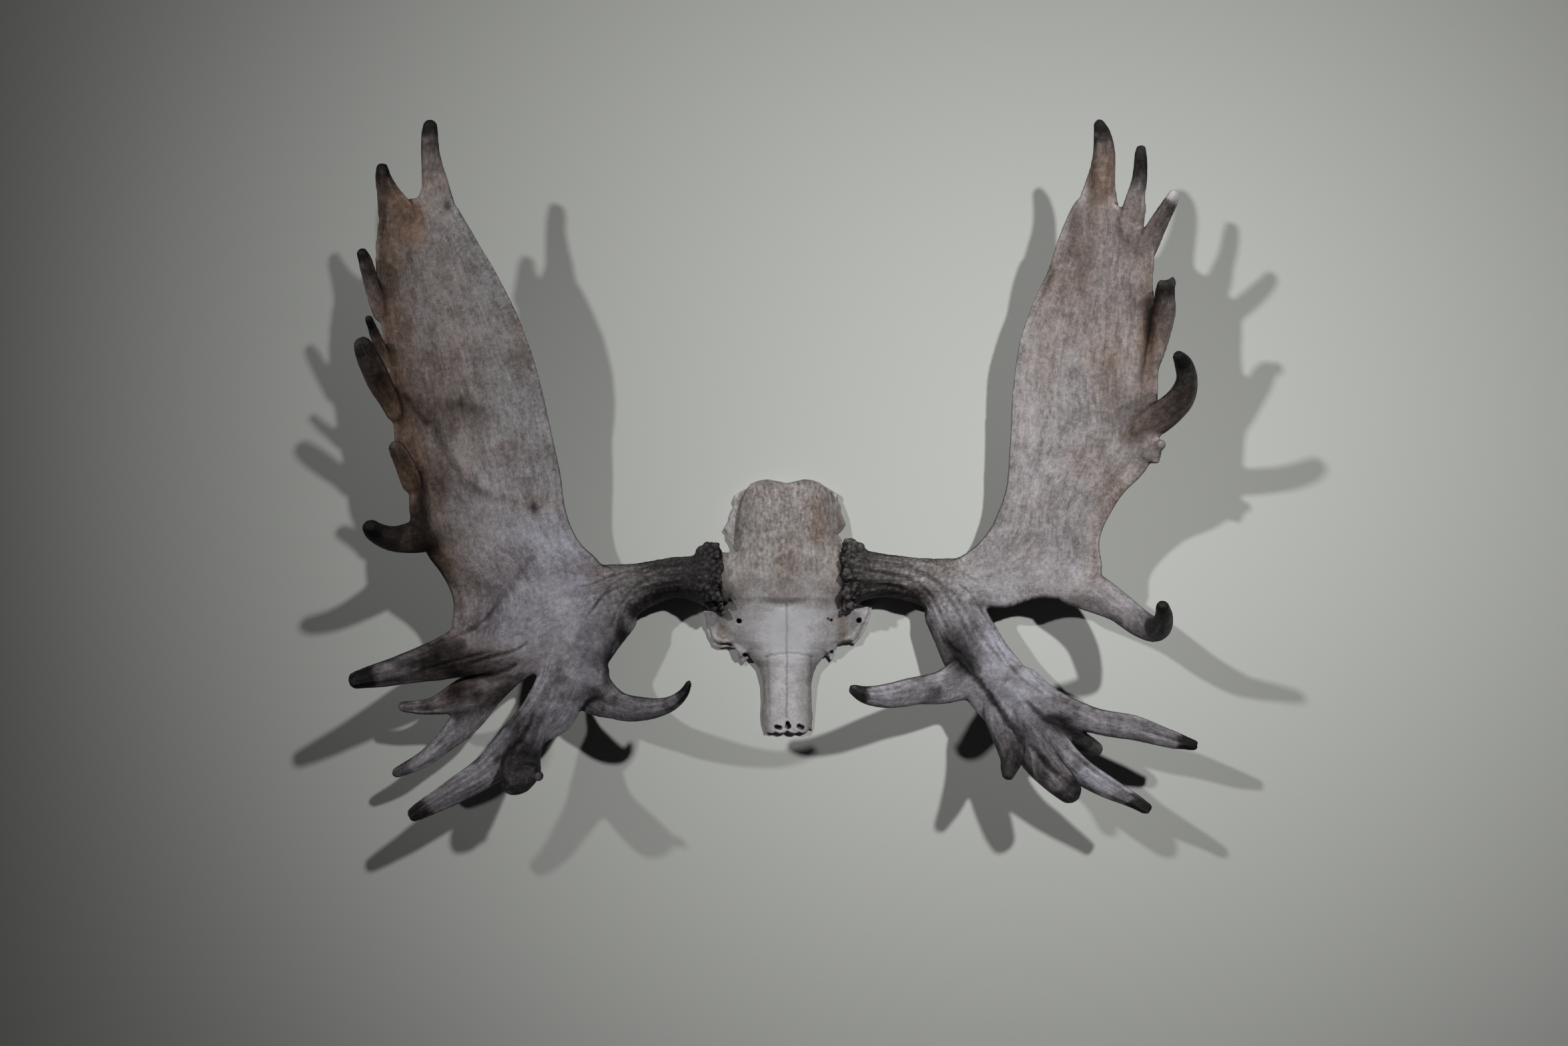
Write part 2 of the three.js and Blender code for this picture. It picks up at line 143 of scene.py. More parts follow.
# Each branch is a list of [x, y, z, half width in plan, half thickness], then its darkness and
# its warmth at the root, the middle, near the end and at the tip. PLAIN has no warmth.
PLAIN = (0, 0, 0, 0)
WEST_BRANCHES = {
    "beam": ([
        [-70, 31, 36, 39, 31], [-98, 30, 36, 37, 30], [-112, 30, 32, 31, 27], [-143, 31, 27, 26, 23],
        [-181, 22, 31, 28, 23], [-232, 6, 42, 42, 20], [-268, -6, 49, 42, 16],
    ], (0.95, 0.82, 0.28, 0.2), PLAIN),
    "top_tine": ([
        [-430, 458, 144, 31, 5], [-430, 490, 148, 25, 6], [-430, 512, 150, 18, 7.5],
        [-433, 532, 151, 14, 8], [-436, 556, 152, 12, 8], [-436, 577, 153, 11, 8], [-435, 594, 153, 8, 7],
    ], (0.05, 0.12, 0.6, 1.2), (0.2, 0.5, 0.3, 0)),
    "second_tine": ([
        [-470, 455, 156, 26, 5], [-478, 484, 161, 22, 6], [-485, 503, 166, 14.5, 7],
        [-490, 523, 171, 9.5, 7], [-490, 537, 174, 6.5, 5.5],
    ], (0.12, 0.2, 0.7, 1.2), (0.6, 0.9, 0.3, 0)),
    "third_tine": ([
        [-492, 344, 168, 8, 6], [-497, 368, 174, 10, 7], [-503, 396, 184, 9.5, 7],
        [-507, 415, 191, 8.5, 6], [-512, 430, 195, 5.5, 5],
    ], (0.2, 0.4, 0.8, 1.2), (0.7, 0.5, 0.3, 0)),
    "fourth_tine": ([
        [-484, 288, 165, 7, 6], [-489, 306, 176, 8, 6], [-495, 328, 194, 7.5, 6], [-501, 349, 209, 5, 5],
    ], (0.2, 0.35, 0.8, 1.1), (0.5, 0.4, 0.3, 0)),
    "fat_tine": ([
        [-474, 224, 163, 9, 7], [-481, 245, 170, 12, 8], [-490, 267, 184, 14, 9], [-498, 292, 204, 14, 10],
        [-503, 309, 217, 12, 9], [-506, 320, 224, 8, 7],
    ], (0.3, 0.55, 0.68, 0.85), (0.8, 0.7, 0.5, 0.2)),
    "short_tine": ([
        [-455, 138, 152, 12, 7], [-459, 156, 160, 13, 8], [-465, 178, 178, 12, 8], [-473, 198, 197, 10, 8],
    ], (0.2, 0.32, 0.45, 0.6), (0.9, 0.9, 0.4, 0)),
    "rim_ridge": ([
        [-456, 142, 150, 6, 8], [-452, 114, 150, 9, 9], [-445, 86, 143, 10, 10], [-434, 62, 128, 7, 8],
    ], (1.1, 1.2, 1.1, 0.7), (0.1, 0.1, 0.1, 0.3)),
    "curled_tine": ([
        [-432, 90, 128, 21, 9], [-453, 83, 152, 20, 11], [-475, 82, 190, 16, 13], [-489, 90, 220, 13, 12],
        [-494, 100, 237, 9, 8],
    ], (0.75, 0.45, 0.8, 1.2), (0.2, 0.4, 0.2, 0)),
    "brow_trunk": ([
        [-205, 12, 37, 30, 18], [-224, -8, 42, 38, 19], [-246, -32, 48, 42, 18], [-270, -69, 55, 42, 17],
        [-285, -107, 66, 34, 15], [-299, -134, 78, 34, 14], [-322, -156, 88, 27, 14],
        [-341, -180, 100, 26, 15], [-372, -207, 116, 19, 13], [-410, -230, 134, 16, 11],
        [-441, -247, 146, 12, 9], [-463, -260, 150, 8, 7],
    ], (0.25, 0.22, 0.42, 1.1), PLAIN),
    "brow_stub": ([
        [-318, -146, 84, 21, 14], [-328, -185, 112, 22, 15], [-326, -207, 154, 25, 17],
        [-322, -216, 180, 20, 16],
    ], (0.4, 0.52, 0.64, 0.85), PLAIN),
    "outer_brow_tine": ([
        [-286, -12, 55, 44, 15], [-372, -47, 76, 40, 14], [-428, -68, 112, 26, 14],
        [-468, -78, 160, 18, 13], [-500, -84, 195, 13, 10], [-521, -89, 212, 9.5, 7],
    ], (0.15, 0.35, 0.6, 1.2), (0.2, 0.2, 0.1, 0)),
    "low_brow_tine": ([
        [-365, -104, 74, 26, 11], [-402, -116, 81, 23, 10], [-446, -130, 84, 11, 7],
        [-488, -130, 86, 6, 5],
    ], (0.4, 0.42, 0.4, 0.6), (0.3, 0.3, 0.2, 0.1)),
    "middle_brow_tine": ([
        [-291, -48, 56, 38, 14], [-340, -75, 62, 23, 12], [-375, -107, 70, 22, 11],
        [-402, -145, 75, 20, 10.5], [-428, -173, 78, 13.5, 10], [-458, -198, 80, 9.5, 9],
        [-496, -216, 82, 6.5, 6],
    ], (0.18, 0.35, 0.3, 0.7), (0.2, 0.1, 0, 0)),
    "inner_tine": ([
        [-264, -52, 54, 36, 15], [-250, -107, 62, 31, 14], [-212, -129, 85, 18, 13],
        [-173, -130, 115, 14, 12], [-143, -122, 140, 10, 9], [-126, -108, 155, 7, 7],
        [-117, -92, 166, 4, 4],
    ], (0.25, 0.45, 0.45, 1.05), PLAIN),
}

EAST_BRANCHES = {
    "beam": ([
        [57, 33, 36, 39, 31], [86, 34, 36, 37, 30], [102, 34, 32, 31, 27], [138, 32, 26, 26, 22],
        [174, 26, 28, 29, 22], [230, 16, 36, 40, 20], [262, 10, 39, 40, 16],
    ], (0.92, 0.42, 0.18, 0.15), PLAIN),
    "top_tine": ([
        [388, 462, 109, 30, 5], [386, 498, 118, 25, 6], [388, 521, 122, 19, 8], [391, 541, 124, 15.5, 8],
        [392, 561, 126, 13.5, 8], [389, 582, 128, 10.5, 7], [383, 598, 129, 5, 5],
    ], (0.1, 0.25, 0.5, 1.2), (0.1, 0.4, 0.4, 0)),
    "second_tine": ([
        [424, 446, 127, 15, 5], [427, 484, 134, 15, 6.5], [430, 506, 137, 11.5, 7], [433, 522, 139, 10, 7],
        [434, 538, 141, 9, 7], [434, 552, 143, 7.5, 6.5], [434.5, 564, 143, 5, 5],
    ], (0.15, 0.3, 1, 1), (0.1, 0.2, 0.1, 0)),
    "third_tine": ([
        [438, 420, 128, 12, 5], [446, 446, 136, 14, 6], [453, 463, 144, 12, 7], [461, 479, 150, 10, 7],
        [469, 494, 154, 8.5, 7], [474, 507, 156, 5, 5],
    ], (0.3, 0.4, 0.7, 0), (0.5, 0.4, 0.2, 0)),
    "fourth_tine": ([
        [444, 268, 128, 7, 5], [452, 305, 137, 11, 6], [458, 335, 143, 14, 8], [461, 360, 150, 15, 9],
        [461, 380, 158, 13, 9], [461, 396, 167, 11, 8],
    ], (0.25, 0.35, 0.5, 0.8), (0.5, 0.6, 0.3, 0)),
    "hooked_tine": ([
        [432, 208, 110, 13, 6], [454, 226, 132, 19, 9], [477, 250, 165, 17, 12], [481, 272, 190, 13, 12],
        [473, 290, 210, 11, 10], [462, 302, 223, 6, 6],
    ], (0.3, 0.55, 0.75, 1.2), (0.6, 0.7, 0.3, 0)),
    "short_tine": ([
        [440, 180, 116, 10, 6], [453, 185, 127, 8, 6], [461, 188, 132, 6, 5],
    ], (0.3, 0.4, 0.5, 0.6), (0.4, 0.3, 0.2, 0)),
    "lower_tine": ([
        [342, 35, 48, 33, 12], [386, 13, 64, 25, 13], [419, -6, 84, 19, 14], [441, -25, 108, 17, 14],
        [455, -30, 136, 15, 13], [455, -14, 180, 11, 10], [446, 4, 220, 7, 7],
    ], (0.12, 0.25, 0.75, 1.2), (0.1, 0.1, 0.2, 0)),
    "brow_trunk": ([
        [190, 14, 32, 30, 18], [208, -6, 36, 36, 18], [224, -34, 42, 39, 18], [243, -72, 51, 41, 17],
        [272, -112, 65, 42, 16], [302, -147, 81, 36, 15], [334, -184, 96, 24, 13],
        [366, -209, 106, 17, 12], [400, -229, 112, 14, 11], [431, -245, 117, 10, 9],
        [450, -257, 119, 7, 7],
    ], (0.2, 0.2, 0.25, 1.1), PLAIN),
    "outer_brow_tine": ([
        [272, -92, 62, 34, 14], [326, -127, 78, 23, 13], [385, -147, 92, 16, 12], [434, -156, 98, 15, 11],
        [479, -169, 102, 11, 9], [513, -178, 104, 6, 6],
    ], (0.2, 0.25, 0.4, 1.2), (0.1, 0, 0, 0)),
    "knobbed_tine": ([
        [289, -151, 84, 26, 14], [314, -193, 112, 22, 15], [337, -219, 135, 19, 15],
        [355, -238, 150, 13, 12],
    ], (0.3, 0.42, 0.55, 0.95), (0, 0, 0.2, 0.1)),
    "front_tine": ([
        [262, -115, 68, 25, 14], [274, -160, 100, 20, 14], [277, -186, 130, 16, 13],
        [272, -202, 145, 11, 10], [269, -212, 153, 7, 7],
    ], (0.3, 0.45, 0.7, 0.95), (0, 0, 0.1, 0)),
    # The low stub is painted near black along its length: partly its own dark colour, partly painted shade
    # where the tines above hide it from the light.
    "low_stub": ([
        [318, -140, 80, 18, 10], [350, -163, 80, 14, 9], [377, -178, 81, 12, 9], [396, -188, 82, 8, 7],
    ], (0.6, 1, 1.1, 0.95), (0, 0, 0.1, 0.1)),
    "inner_tine": ([
        [246, -86, 56, 32, 15], [202, -105, 72, 23, 14], [161, -109, 100, 18, 13],
        [126, -113, 122, 15, 12], [96, -110, 142, 10, 9], [76, -100, 153, 5, 5],
    ], (0.3, 0.22, 0.25, 1.05), PLAIN),
}

# Each palm station is [west x, y, z, east x, y, z, sag of the middle, half thickness].
WEST_PALM = [
    [-424, -52, 98, -219, -62, 50, 4, 15], [-414, 0, 106, -215, 15, 43, 6, 15],
    [-426, 36, 122, -242, 55, 49, 8, 14], [-442, 63, 138, -263, 76, 55, 10, 12],
    [-451, 112, 152, -280, 117, 60, 12, 10], [-461, 154, 158, -286, 159, 65, 14, 9],
    [-477, 201, 164, -294, 205, 76, 15, 8], [-479, 249, 168, -304, 255, 86, 15, 8],
    [-485, 294, 171, -313, 297, 100, 14, 7.5], [-492, 338, 173, -328, 344, 115, 13, 7],
    [-497, 383, 173, -347, 388, 128, 11, 7], [-499, 423, 171, -367, 427, 140, 9, 7],
    [-498, 455, 168, -391, 466, 147, 7, 7], [-489, 496, 165, -412, 503, 150, 4, 7],
]
EAST_PALM = [
    [186, 49, 34, 257, -19, 38, 0, 18], [218, 56, 38, 320, 4, 40, 3, 16], [252, 84, 44, 371, 5, 54, 6, 14],
    [270, 117, 50, 397, 35, 68, 9, 12], [279, 150, 54, 394, 80, 80, 11, 10],
    [282, 180, 56, 415, 130, 98, 13, 9], [284, 214, 58, 445, 167, 120, 15, 8.5],
    [285, 252, 60, 459, 207, 131, 15, 8], [287, 290, 64, 456, 249, 136, 14, 8],
    [294, 331, 71, 457, 296, 139, 13, 7.5], [309, 377, 80, 455, 349, 141, 12, 7],
    [325, 413, 90, 450, 394, 141, 10, 7], [336, 449, 100, 451, 433, 140, 8, 7],
    [350, 484, 110, 441, 459, 138, 6, 7], [366, 515, 119, 413, 494, 132, 3, 7],
]

# Stains on the bone, and patches of painted shade under each beam's arch, down each brow trunk's inner
# side and at the east low stub's root: [x, y, radius x, radius y, darkness, warmth, coolness], the last
# two 0 if left out.
WEST_STAINS_AND_SHADE = [
    [-478, 470, 26, 60, 0.1, 0.6], [-484, 380, 16, 110, 0.14, 0.6], [-472, 250, 24, 90, 0.16, 0.8],
    [-452, 140, 22, 60, 0.16, 0.8], [-438, 60, 26, 34, 0.22, 0.8], [-420, 250, 40, 120, 0.05, 0.5],
    [-440, 430, 50, 60, 0.03, 0.2], [-412, 248, 16, 9, 0.3, 0.2], [-425, 150, 10, 26, 0.25, 0.3],
    [-316, 128, 30, 12, 0.12, 0.4], [-350, 190, 26, 14, 0.1, 0.3, 0.1],
    [-380, 230, 22, 10, 0.12, 0.2, 0.1], [-330, 330, 14, 40, 0.1, 0.5], [-300, 60, 50, 60, -0.06, 0, 0.9],
    [-345, 20, 60, 40, 0, 0, 0.5], [-290, 10, 40, 40, -0.08, 0, 1], [-360, 100, 50, 60, -0.03, 0.1, 0.4],
    [-395, 340, 40, 60, -0.04, 0.2, 0.3], [-330, -20, 50, 30, -0.05, 0, 0.7],
    [-400, -60, 40, 22, 0.15, 0.4], [-452, -72, 18, 9, 0.25, 0.1], [-412, -96, 30, 16, 0.2, 0.5],
    [-350, -118, 30, 14, 0.22, 0.1, 0.1], [-300, -140, 30, 22, 0.18, 0, 0.4],
    [-262, -118, 30, 14, 0.2, 0, 0.5], [-245, 40, 22, 14, 0.16, 0.3, 0.2],
    # [-150, 6], [-192, -14], [-211, -40] and [-225, -78] are painted shade under the beam's arch and down
    # the brow trunk's inner side, over a darker brown bone.
    [-232, -20, 18, 60, 0.12, 0.1, 0.3], [-255, -70, 16, 40, 0.1, 0, 0.4], [-150, 6, 34, 12, 0.5, 0.2],
    [-192, -14, 16, 13, 0.65, 0.2], [-211, -40, 9, 18, 0.75, 0.1], [-225, -78, 7, 24, 0.7, 0, 0.1],
    [-337, 43, 46, 26, 0.14, 0.1], [-448, 112, 9, 34, 0.45, 0.1], [-436, 62, 12, 16, 0.3, 0.3],
    [-420, -66, 30, 14, 0.3, 0.1], [-398, -84, 26, 10, 0.4, 0.3], [-330, 150, 20, 9, 0.12, 0.1],
    [-492, 470, 7, 34, 0.35, 0.3], [-456, 474, 16, 30, 0.08, 0.8], [-425, -111, 26, 9, 0.3, 0.6],
    [-330, -172, 20, 14, 0.25, 0, 0.2], [-415, 487, 4, 5, 0.5], [-319, 120, 5, 7, 0.45],
    [-389, 243, 12, 8, 0.15], [-481, -74, 8, 5, -0.45, 0.2], [-392, 20, 46, 46, 0.1, 0.3],
    [-382, 165, 40, 36, -0.06, 0.1, 0.2],
]
EAST_STAINS_AND_SHADE = [
    [300, 240, 22, 120, -0.05, 0.2, 0.2], [330, 330, 26, 80, 0.02, 0.4],
    [350, 420, 30, 60, 0.03, 0.3, 0.1], [392, 520, 22, 50, 0.04, 0.7], [372, 180, 26, 30, 0.08, 0.4, 0.1],
    [405, 150, 16, 40, 0.06, 0.4], [320, 120, 40, 30, 0.04, 0.2, 0.2], [300, 60, 50, 26, 0.05, 0.2, 0.3],
    [345, 40, 40, 22, -0.04, 0.1, 0.5], [440, 215, 16, 16, 0.1, 0.2], [443, 330, 12, 60, 0.1, 0.6],
    [404, 300, 30, 80, 0.02, 0.4], [230, -40, 16, 22, 0.3, 0, 0.2], [222, -78, 14, 14, 0.25, 0, 0.3],
    [268, -60, 22, 40, -0.06, 0, 0.8], [300, -110, 26, 26, -0.04, 0, 0.8],
    [255, -112, 18, 14, 0.2, 0, 0.3], [312, -165, 26, 20, 0.18, 0, 0.4], [200, 45, 26, 12, 0.15, 0.3, 0.1],
    [170, 10, 30, 10, 0.18, 0.2], [390, -128, 20, 8, 0.18], [380, -215, 30, 12, -0.02, 0, 0.8],
    # [130, 8], [165, 2], [184, -36] and [208, -54] are painted shade under the beam's arch and down the
    # brow trunk's inner side, over a darker brown bone.
    [130, 8, 30, 12, 0.45, 0.3], [165, 2, 14, 12, 0.35, 0.2], [184, -36, 9, 22, 0.35],
    [208, -54, 15, 22, 0.5, 0, 0.1], [446, 352, 7, 40, 0.25, 0.6], [378, 522, 5, 34, 0.35, 0.2],
    [326, 418, 7, 22, 0.3, 0.1], [392, 430, 60, 70, 0.07, 0.3], [356, 476, 7, 34, 0.22, 0.2],
    # [338, -146] and [352, -160] are painted shade over dark bone at the low stub's root, and [222, -72]
    # is painted shade down the brow trunk's inner side.
    [338, -146, 16, 8, 0.7, 0, 0.1], [352, -160, 16, 8, 0.5, 0, 0.1], [222, -72, 12, 16, 0.55, 0, 0.1],
    [404, 300, 20, 60, 0.04, 0.3], [196, 52, 30, 8, -0.08, 0.1], [372, 388, 8, 60, 0.05, 0.2],
]

# The knobs on each burr's upper edge and on a few tines: [x, y, z, radii].
WEST_KNOBS = [
    [-96, 68, 44, 11, 9, 10], [-107, 65, 40, 9, 7, 9], [-90, 60, 56, 8, 8, 8], [-92, -6, 42, 8, 6, 8],
    [-88, 8, 60, 7, 7, 7], [-86, 30, 68, 7, 8, 6], [-82, -12, 38, 7, 6, 7], [-78, 44, 64, 6, 6, 6],
    [-80, 20, 66, 5, 6, 5], [-300, -206, 176, 6, 6, 8],
]
EAST_KNOBS = [
    [80, 70, 44, 9, 12, 9], [90, 68, 38, 10, 8, 9], [76, 58, 56, 8, 8, 8], [80, -4, 44, 8, 7, 8],
    [75, 12, 62, 7, 7, 7], [74, 36, 69, 6, 8, 6], [68, 48, 64, 6, 6, 6], [72, -10, 38, 7, 6, 7],
    [468, 392, 168, 5, 9, 6], [455, 389, 166, 6, 8, 7], [461, 197, 134, 6, 7, 5], [455, 178, 128, 6, 5, 5],
]

# Furrows and old cracks: the plan points along each, then its half width, depth and darkness, the darkness
# being painted shade in the groove.
WEST_FURROWS = [
    ([(-232, -116), (-248, -124), (-258, -136), (-262, -150)], 3.5, 1.4, 0.3),
    ([(-320, 66), (-330, 46), (-346, 22), (-362, -2), (-377, -26)], 5.5, 0.4, 0.14),
    ([(-120, 34), (-160, 34), (-190, 22), (-212, -4), (-226, -40)], 2.2, 0.5, 0.1),
    ([(-124, 46), (-168, 46), (-204, 34), (-232, 12), (-250, -20)], 2.2, 0.4, 0.1),
    ([(-196, 40), (-222, 34), (-246, 24), (-270, 18)], 1.6, 0.5, 0.12),
    ([(-206, 22), (-226, 14), (-240, 0), (-256, -22)], 1.6, 0.5, 0.1),
    ([(-322, -46), (-340, -58), (-368, -66), (-408, -78)], 2.4, 0.7, 0.2),
    ([(-334, -72), (-352, -84), (-384, -92), (-406, -97)], 3, 0.8, 0.25),
    ([(-372, -60), (-398, -66), (-430, -74), (-462, -84)], 2.2, 0.7, 0.22),
    ([(-360, 4), (-376, -18), (-398, -34), (-430, -48)], 3, 0.6, 0.16),
    ([(-466, 275), (-441, 235), (-416, 186), (-395, 149), (-358, 132), (-330, 128)], 7, 0.6, 0.16),
    ([(-312, -128), (-326, -160), (-342, -180), (-372, -200)], 4, 1.2, 0.25),
    ([(-470, 262), (-452, 236), (-438, 214)], 4, 0.8, 0.3),
]
EAST_FURROWS = [
    ([(192, -30), (207, -55), (222, -73), (235, -90), (254, -113), (268, -135), (283, -158),
      (298, -182)], 4.5, 2.2, 0.42),
    ([(100, 52), (130, 49), (160, 44), (190, 26), (212, -2), (228, -36), (246, -64)], 3, 0.6, 0.12),
    ([(96, 40), (130, 36), (160, 28), (184, 8), (200, -24), (210, -52)], 2.6, 0.8, 0.16),
    ([(98, 26), (128, 22), (154, 14), (174, -6), (186, -36)], 2.4, 0.7, 0.16),
    ([(98, 58), (140, 56), (182, 50), (222, 38), (250, 22)], 2, 0.5, 0.1),
    ([(204, 34), (232, 12), (256, -24), (284, -60), (316, -92)], 1.8, 0.5, 0.08),
    ([(150, 44), (186, 30), (216, 6), (236, -26), (262, -62), (292, -96)], 2.4, 0.6, 0.1),
    ([(258, -40), (276, -70), (300, -98), (326, -116)], 2, 0.5, 0.08),
    ([(296, -118), (322, -142), (346, -152)], 4, 1.2, 0.4),
    ([(446, 300), (446, 326), (445, 356), (447, 386)], 4, 0.4, 0.2),
    ([(298, -168), (318, -192), (336, -212)], 3.5, 1.2, 0.3),
]


# ---- closed source shapes

def tube(rings):
    """A closed mesh through rings of equal length, as vertices and faces."""
    count, sides, _ = rings.shape
    first = np.arange(count - 1)[:, None] * sides
    around = np.arange(sides)[None, :]
    ahead = (around + 1) % sides
    walls = np.stack([first + around, first + ahead, first + ahead + sides, first + around + sides], -1)
    faces = walls.reshape(-1, 4).tolist()
    faces.append(list(range(sides))[::-1])
    faces.append(list(range((count - 1) * sides, count * sides)))
    return rings.reshape(-1, 3), faces


def round_end(distance, length):
    """The share of the full width at a distance from an end that is rounded over a length."""
    inside = np.clip(1 - distance / length, 0, 1)
    return np.sqrt(np.maximum(1 - inside * inside, 1e-6))


def curve_length(points):
    samples = curve(points, np.linspace(0, 1, 200))
    return np.linalg.norm(np.diff(samples, axis=0), axis=1).sum()


def spine_of(points, where):
    """Centre, tangent, side, over, half width and half thickness of a branch at each place."""
    table = np.asarray(points, float)
    centre = curve(table[:, :3], where)
    width, thickness = curve(table[:, 3:5], where).T
    step = 1e-3
    ahead = curve(table[:, :3], np.minimum(where + step, 1))
    behind = curve(table[:, :3], np.maximum(where - step, 0))
    travel = unit(ahead - behind)
    side = unit(np.cross(travel, UP))
    over = np.cross(side, travel)
    return centre, travel, side, over, width, thickness


def branch_shape(points):
    ring_step = 2.5
    sides = 40
    fewest_rings = 24
    length = curve_length(np.array(points)[:, :3])
    rings = max(fewest_rings, int(length / ring_step))
    where = (1 - np.cos(np.linspace(0, math.pi, rings))) / 2
    centre, _, side, over, width, thickness = spine_of(points, where)
    end = round_end(np.minimum(where, 1 - where) * length, width)
    angle = np.arange(sides) * (2 * math.pi / sides)
    across = (width * end)[:, None, None] * side[:, None, :] * np.cos(angle)[None, :, None]
    above = (thickness * end)[:, None, None] * over[:, None, :] * np.sin(angle)[None, :, None]
    return tube(centre[:, None, :] + across + above)


def palm_sheet(stations, inner_is_east, along, eastward):
    """Middle surface point, its normal and half thickness for arrays of along and eastward."""
    cupping = 1.7
    table = np.asarray(stations, float)
    west = curve(table[:, 0:3], along)
    east = curve(table[:, 3:6], along)
    sag, thickness = curve(table[:, 6:8], along).T
    outward = np.clip(1 - eastward if inner_is_east else eastward, 0, 1)
    inner, outer = (east, west) if inner_is_east else (west, east)
    middle = west + (east - west) * eastward[:, None]
    middle[:, 2] = inner[:, 2] + (outer[:, 2] - inner[:, 2]) * outward ** cupping
    middle[:, 2] -= sag * 4 * outward * (1 - outward)
    rise = cupping * (outer[:, 2] - inner[:, 2]) * outward ** (cupping - 1)
    run = np.linalg.norm(east - west, axis=1)
    slope = (-1 if inner_is_east else 1) * rise / run
    normal = unit(np.column_stack([-slope, np.zeros(len(slope)), np.ones(len(slope))]))
    return middle, normal, thickness


def palm_shape(stations, inner_is_east):
    rings = 230
    sides = 180
    rim_sharpness = 0.6
    end_length = 0.04
    along = np.repeat(np.linspace(0, 1, rings), sides)
    angle = np.tile(np.arange(sides) * (2 * math.pi / sides), rings)
    end = round_end(np.minimum(along, 1 - along), end_length)
    eastward = (1 + end * np.cos(angle)) / 2
    middle, normal, thickness = palm_sheet(stations, inner_is_east, along, eastward)
    fullness = np.sign(np.sin(angle)) * np.abs(np.sin(angle)) ** rim_sharpness
    offset = (thickness * end * fullness)[:, None] * normal
    return tube((middle + offset).reshape(rings, sides, 3))


def knob_shape(knob):
    rings = 14
    sides = 20
    pole = 0.02
    polar = np.linspace(pole, math.pi - pole, rings)[:, None]
    angle = np.arange(sides)[None, :] * (2 * math.pi / sides)
    ball = np.stack([
        np.sin(polar) * np.cos(angle),
        np.sin(polar) * np.sin(angle),
        -np.cos(polar) + 0 * angle,
    ], -1)
    return tube(ball * np.array(knob[3:]) + np.array(knob[:3]))


# ---- mesh work

class Surface:
    """A mesh held as arrays: points in millimetres and quads."""

    def __init__(self, points, quads):
        self.points = np.asarray(points, float)
        self.quads = np.asarray(quads, np.int64)
        pairs = np.vstack([self.quads[:, [k, (k + 1) % 4]] for k in range(4)])
        pairs = np.unique(np.sort(pairs, axis=1), axis=0)
        self.start, self.stop = pairs.T
        self.count = len(self.points)
        self.valence = np.maximum(np.bincount(pairs.ravel(), minlength=self.count), 1)

    def averaged(self, values):
        """The mean of each vertex's neighbours."""
        columns = values[:, None] if values.ndim == 1 else values
        means = np.empty_like(columns, dtype=float)
        for axis in range(columns.shape[1]):
            column = columns[:, axis]
            total = np.bincount(self.start, weights=column[self.stop], minlength=self.count)
            total += np.bincount(self.stop, weights=column[self.start], minlength=self.count)
            means[:, axis] = total / self.valence
        return means[:, 0] if values.ndim == 1 else means

    def normals(self):
        corner = self.points[self.quads]
        face = np.cross(corner[:, 2] - corner[:, 0], corner[:, 3] - corner[:, 1])
        normal = np.empty_like(self.points)
        for axis in range(3):
            weights = np.repeat(face[:, axis], 4)
            normal[:, axis] = np.bincount(self.quads.ravel(), weights=weights, minlength=self.count)
        return unit(normal)

    def relax(self, rounds):
        """Takes out the steps of the voxels and keeps the volume."""
        shrink, swell = 0.5, 0.52
        for _ in range(rounds):
            self.points += shrink * (self.averaged(self.points) - self.points)
            self.points -= swell * (self.averaged(self.points) - self.points)

    def fill_creases(self, rounds):
        """Grows a web of bone into each inside corner, and leaves the outer corners alone."""
        renew_every = 6
        inside_rate, outside_rate = 0.65, 0.04
        for step in range(rounds):
            if step % renew_every == 0:
                normal = self.normals()
            pull = self.averaged(self.points) - self.points
            inward = (pull * normal).sum(axis=1) > 0
            self.points += pull * np.where(inward, inside_rate, outside_rate)[:, None]

    def hollowness(self):
        """Positive in grooves and negative on ridges, in millimetres."""
        pull = self.averaged(self.points) - self.points
        return (pull * self.normals()).sum(axis=1)


def mesh_object(name, points, faces):
    mesh = bpy.data.meshes.new(name)
    mesh.from_pydata((np.asarray(points) * MM).tolist(), [], faces)
    mesh.update()
    piece = bpy.data.objects.new(name, mesh)
    bpy.context.scene.collection.objects.link(piece)
    return piece


def united(name, shapes, voxel):
    """One closed surface around overlapping closed shapes."""
    points = []
    faces = []
    shift = 0
    for shape_points, shape_faces in shapes:
        points.append(shape_points)
        faces.extend([[index + shift for index in face] for face in shape_faces])
        shift += len(shape_points)
    source = mesh_object(name, np.vstack(points), faces)
    remesh = source.modifiers.new("voxels", "REMESH")
    remesh.mode = "VOXEL"
    remesh.voxel_size = voxel * MM
    remesh.adaptivity = 0
    bpy.context.view_layer.update()
    result = source.evaluated_get(bpy.context.evaluated_depsgraph_get()).to_mesh()
    where = np.empty(len(result.vertices) * 3)
    result.vertices.foreach_get("co", where)
    corners = np.empty(len(result.loops), np.int32)
    result.loops.foreach_get("vertex_index", corners)
    surface = Surface(where.reshape(-1, 3) / MM, corners.reshape(-1, 4))
    bpy.data.objects.remove(source)
    return surface


def finished_piece(name, surface, attributes, material):
    """The final object, smooth shaded, with its marks as point attributes."""
    piece = mesh_object(name, surface.points, surface.quads.tolist())
    mesh = piece.data
    mesh.polygons.foreach_set("use_smooth", np.ones(len(mesh.polygons), bool))
    for label, values in attributes.items():
        is_vector = values.ndim == 2
        kind = "FLOAT_VECTOR" if is_vector else "FLOAT"
        store = mesh.attributes.new(label, kind, "POINT")
        store.data.foreach_set("vector" if is_vector else "value", values.astype(np.float32).ravel())
    mesh.materials.append(material)
    return piece


# ---- antler surface

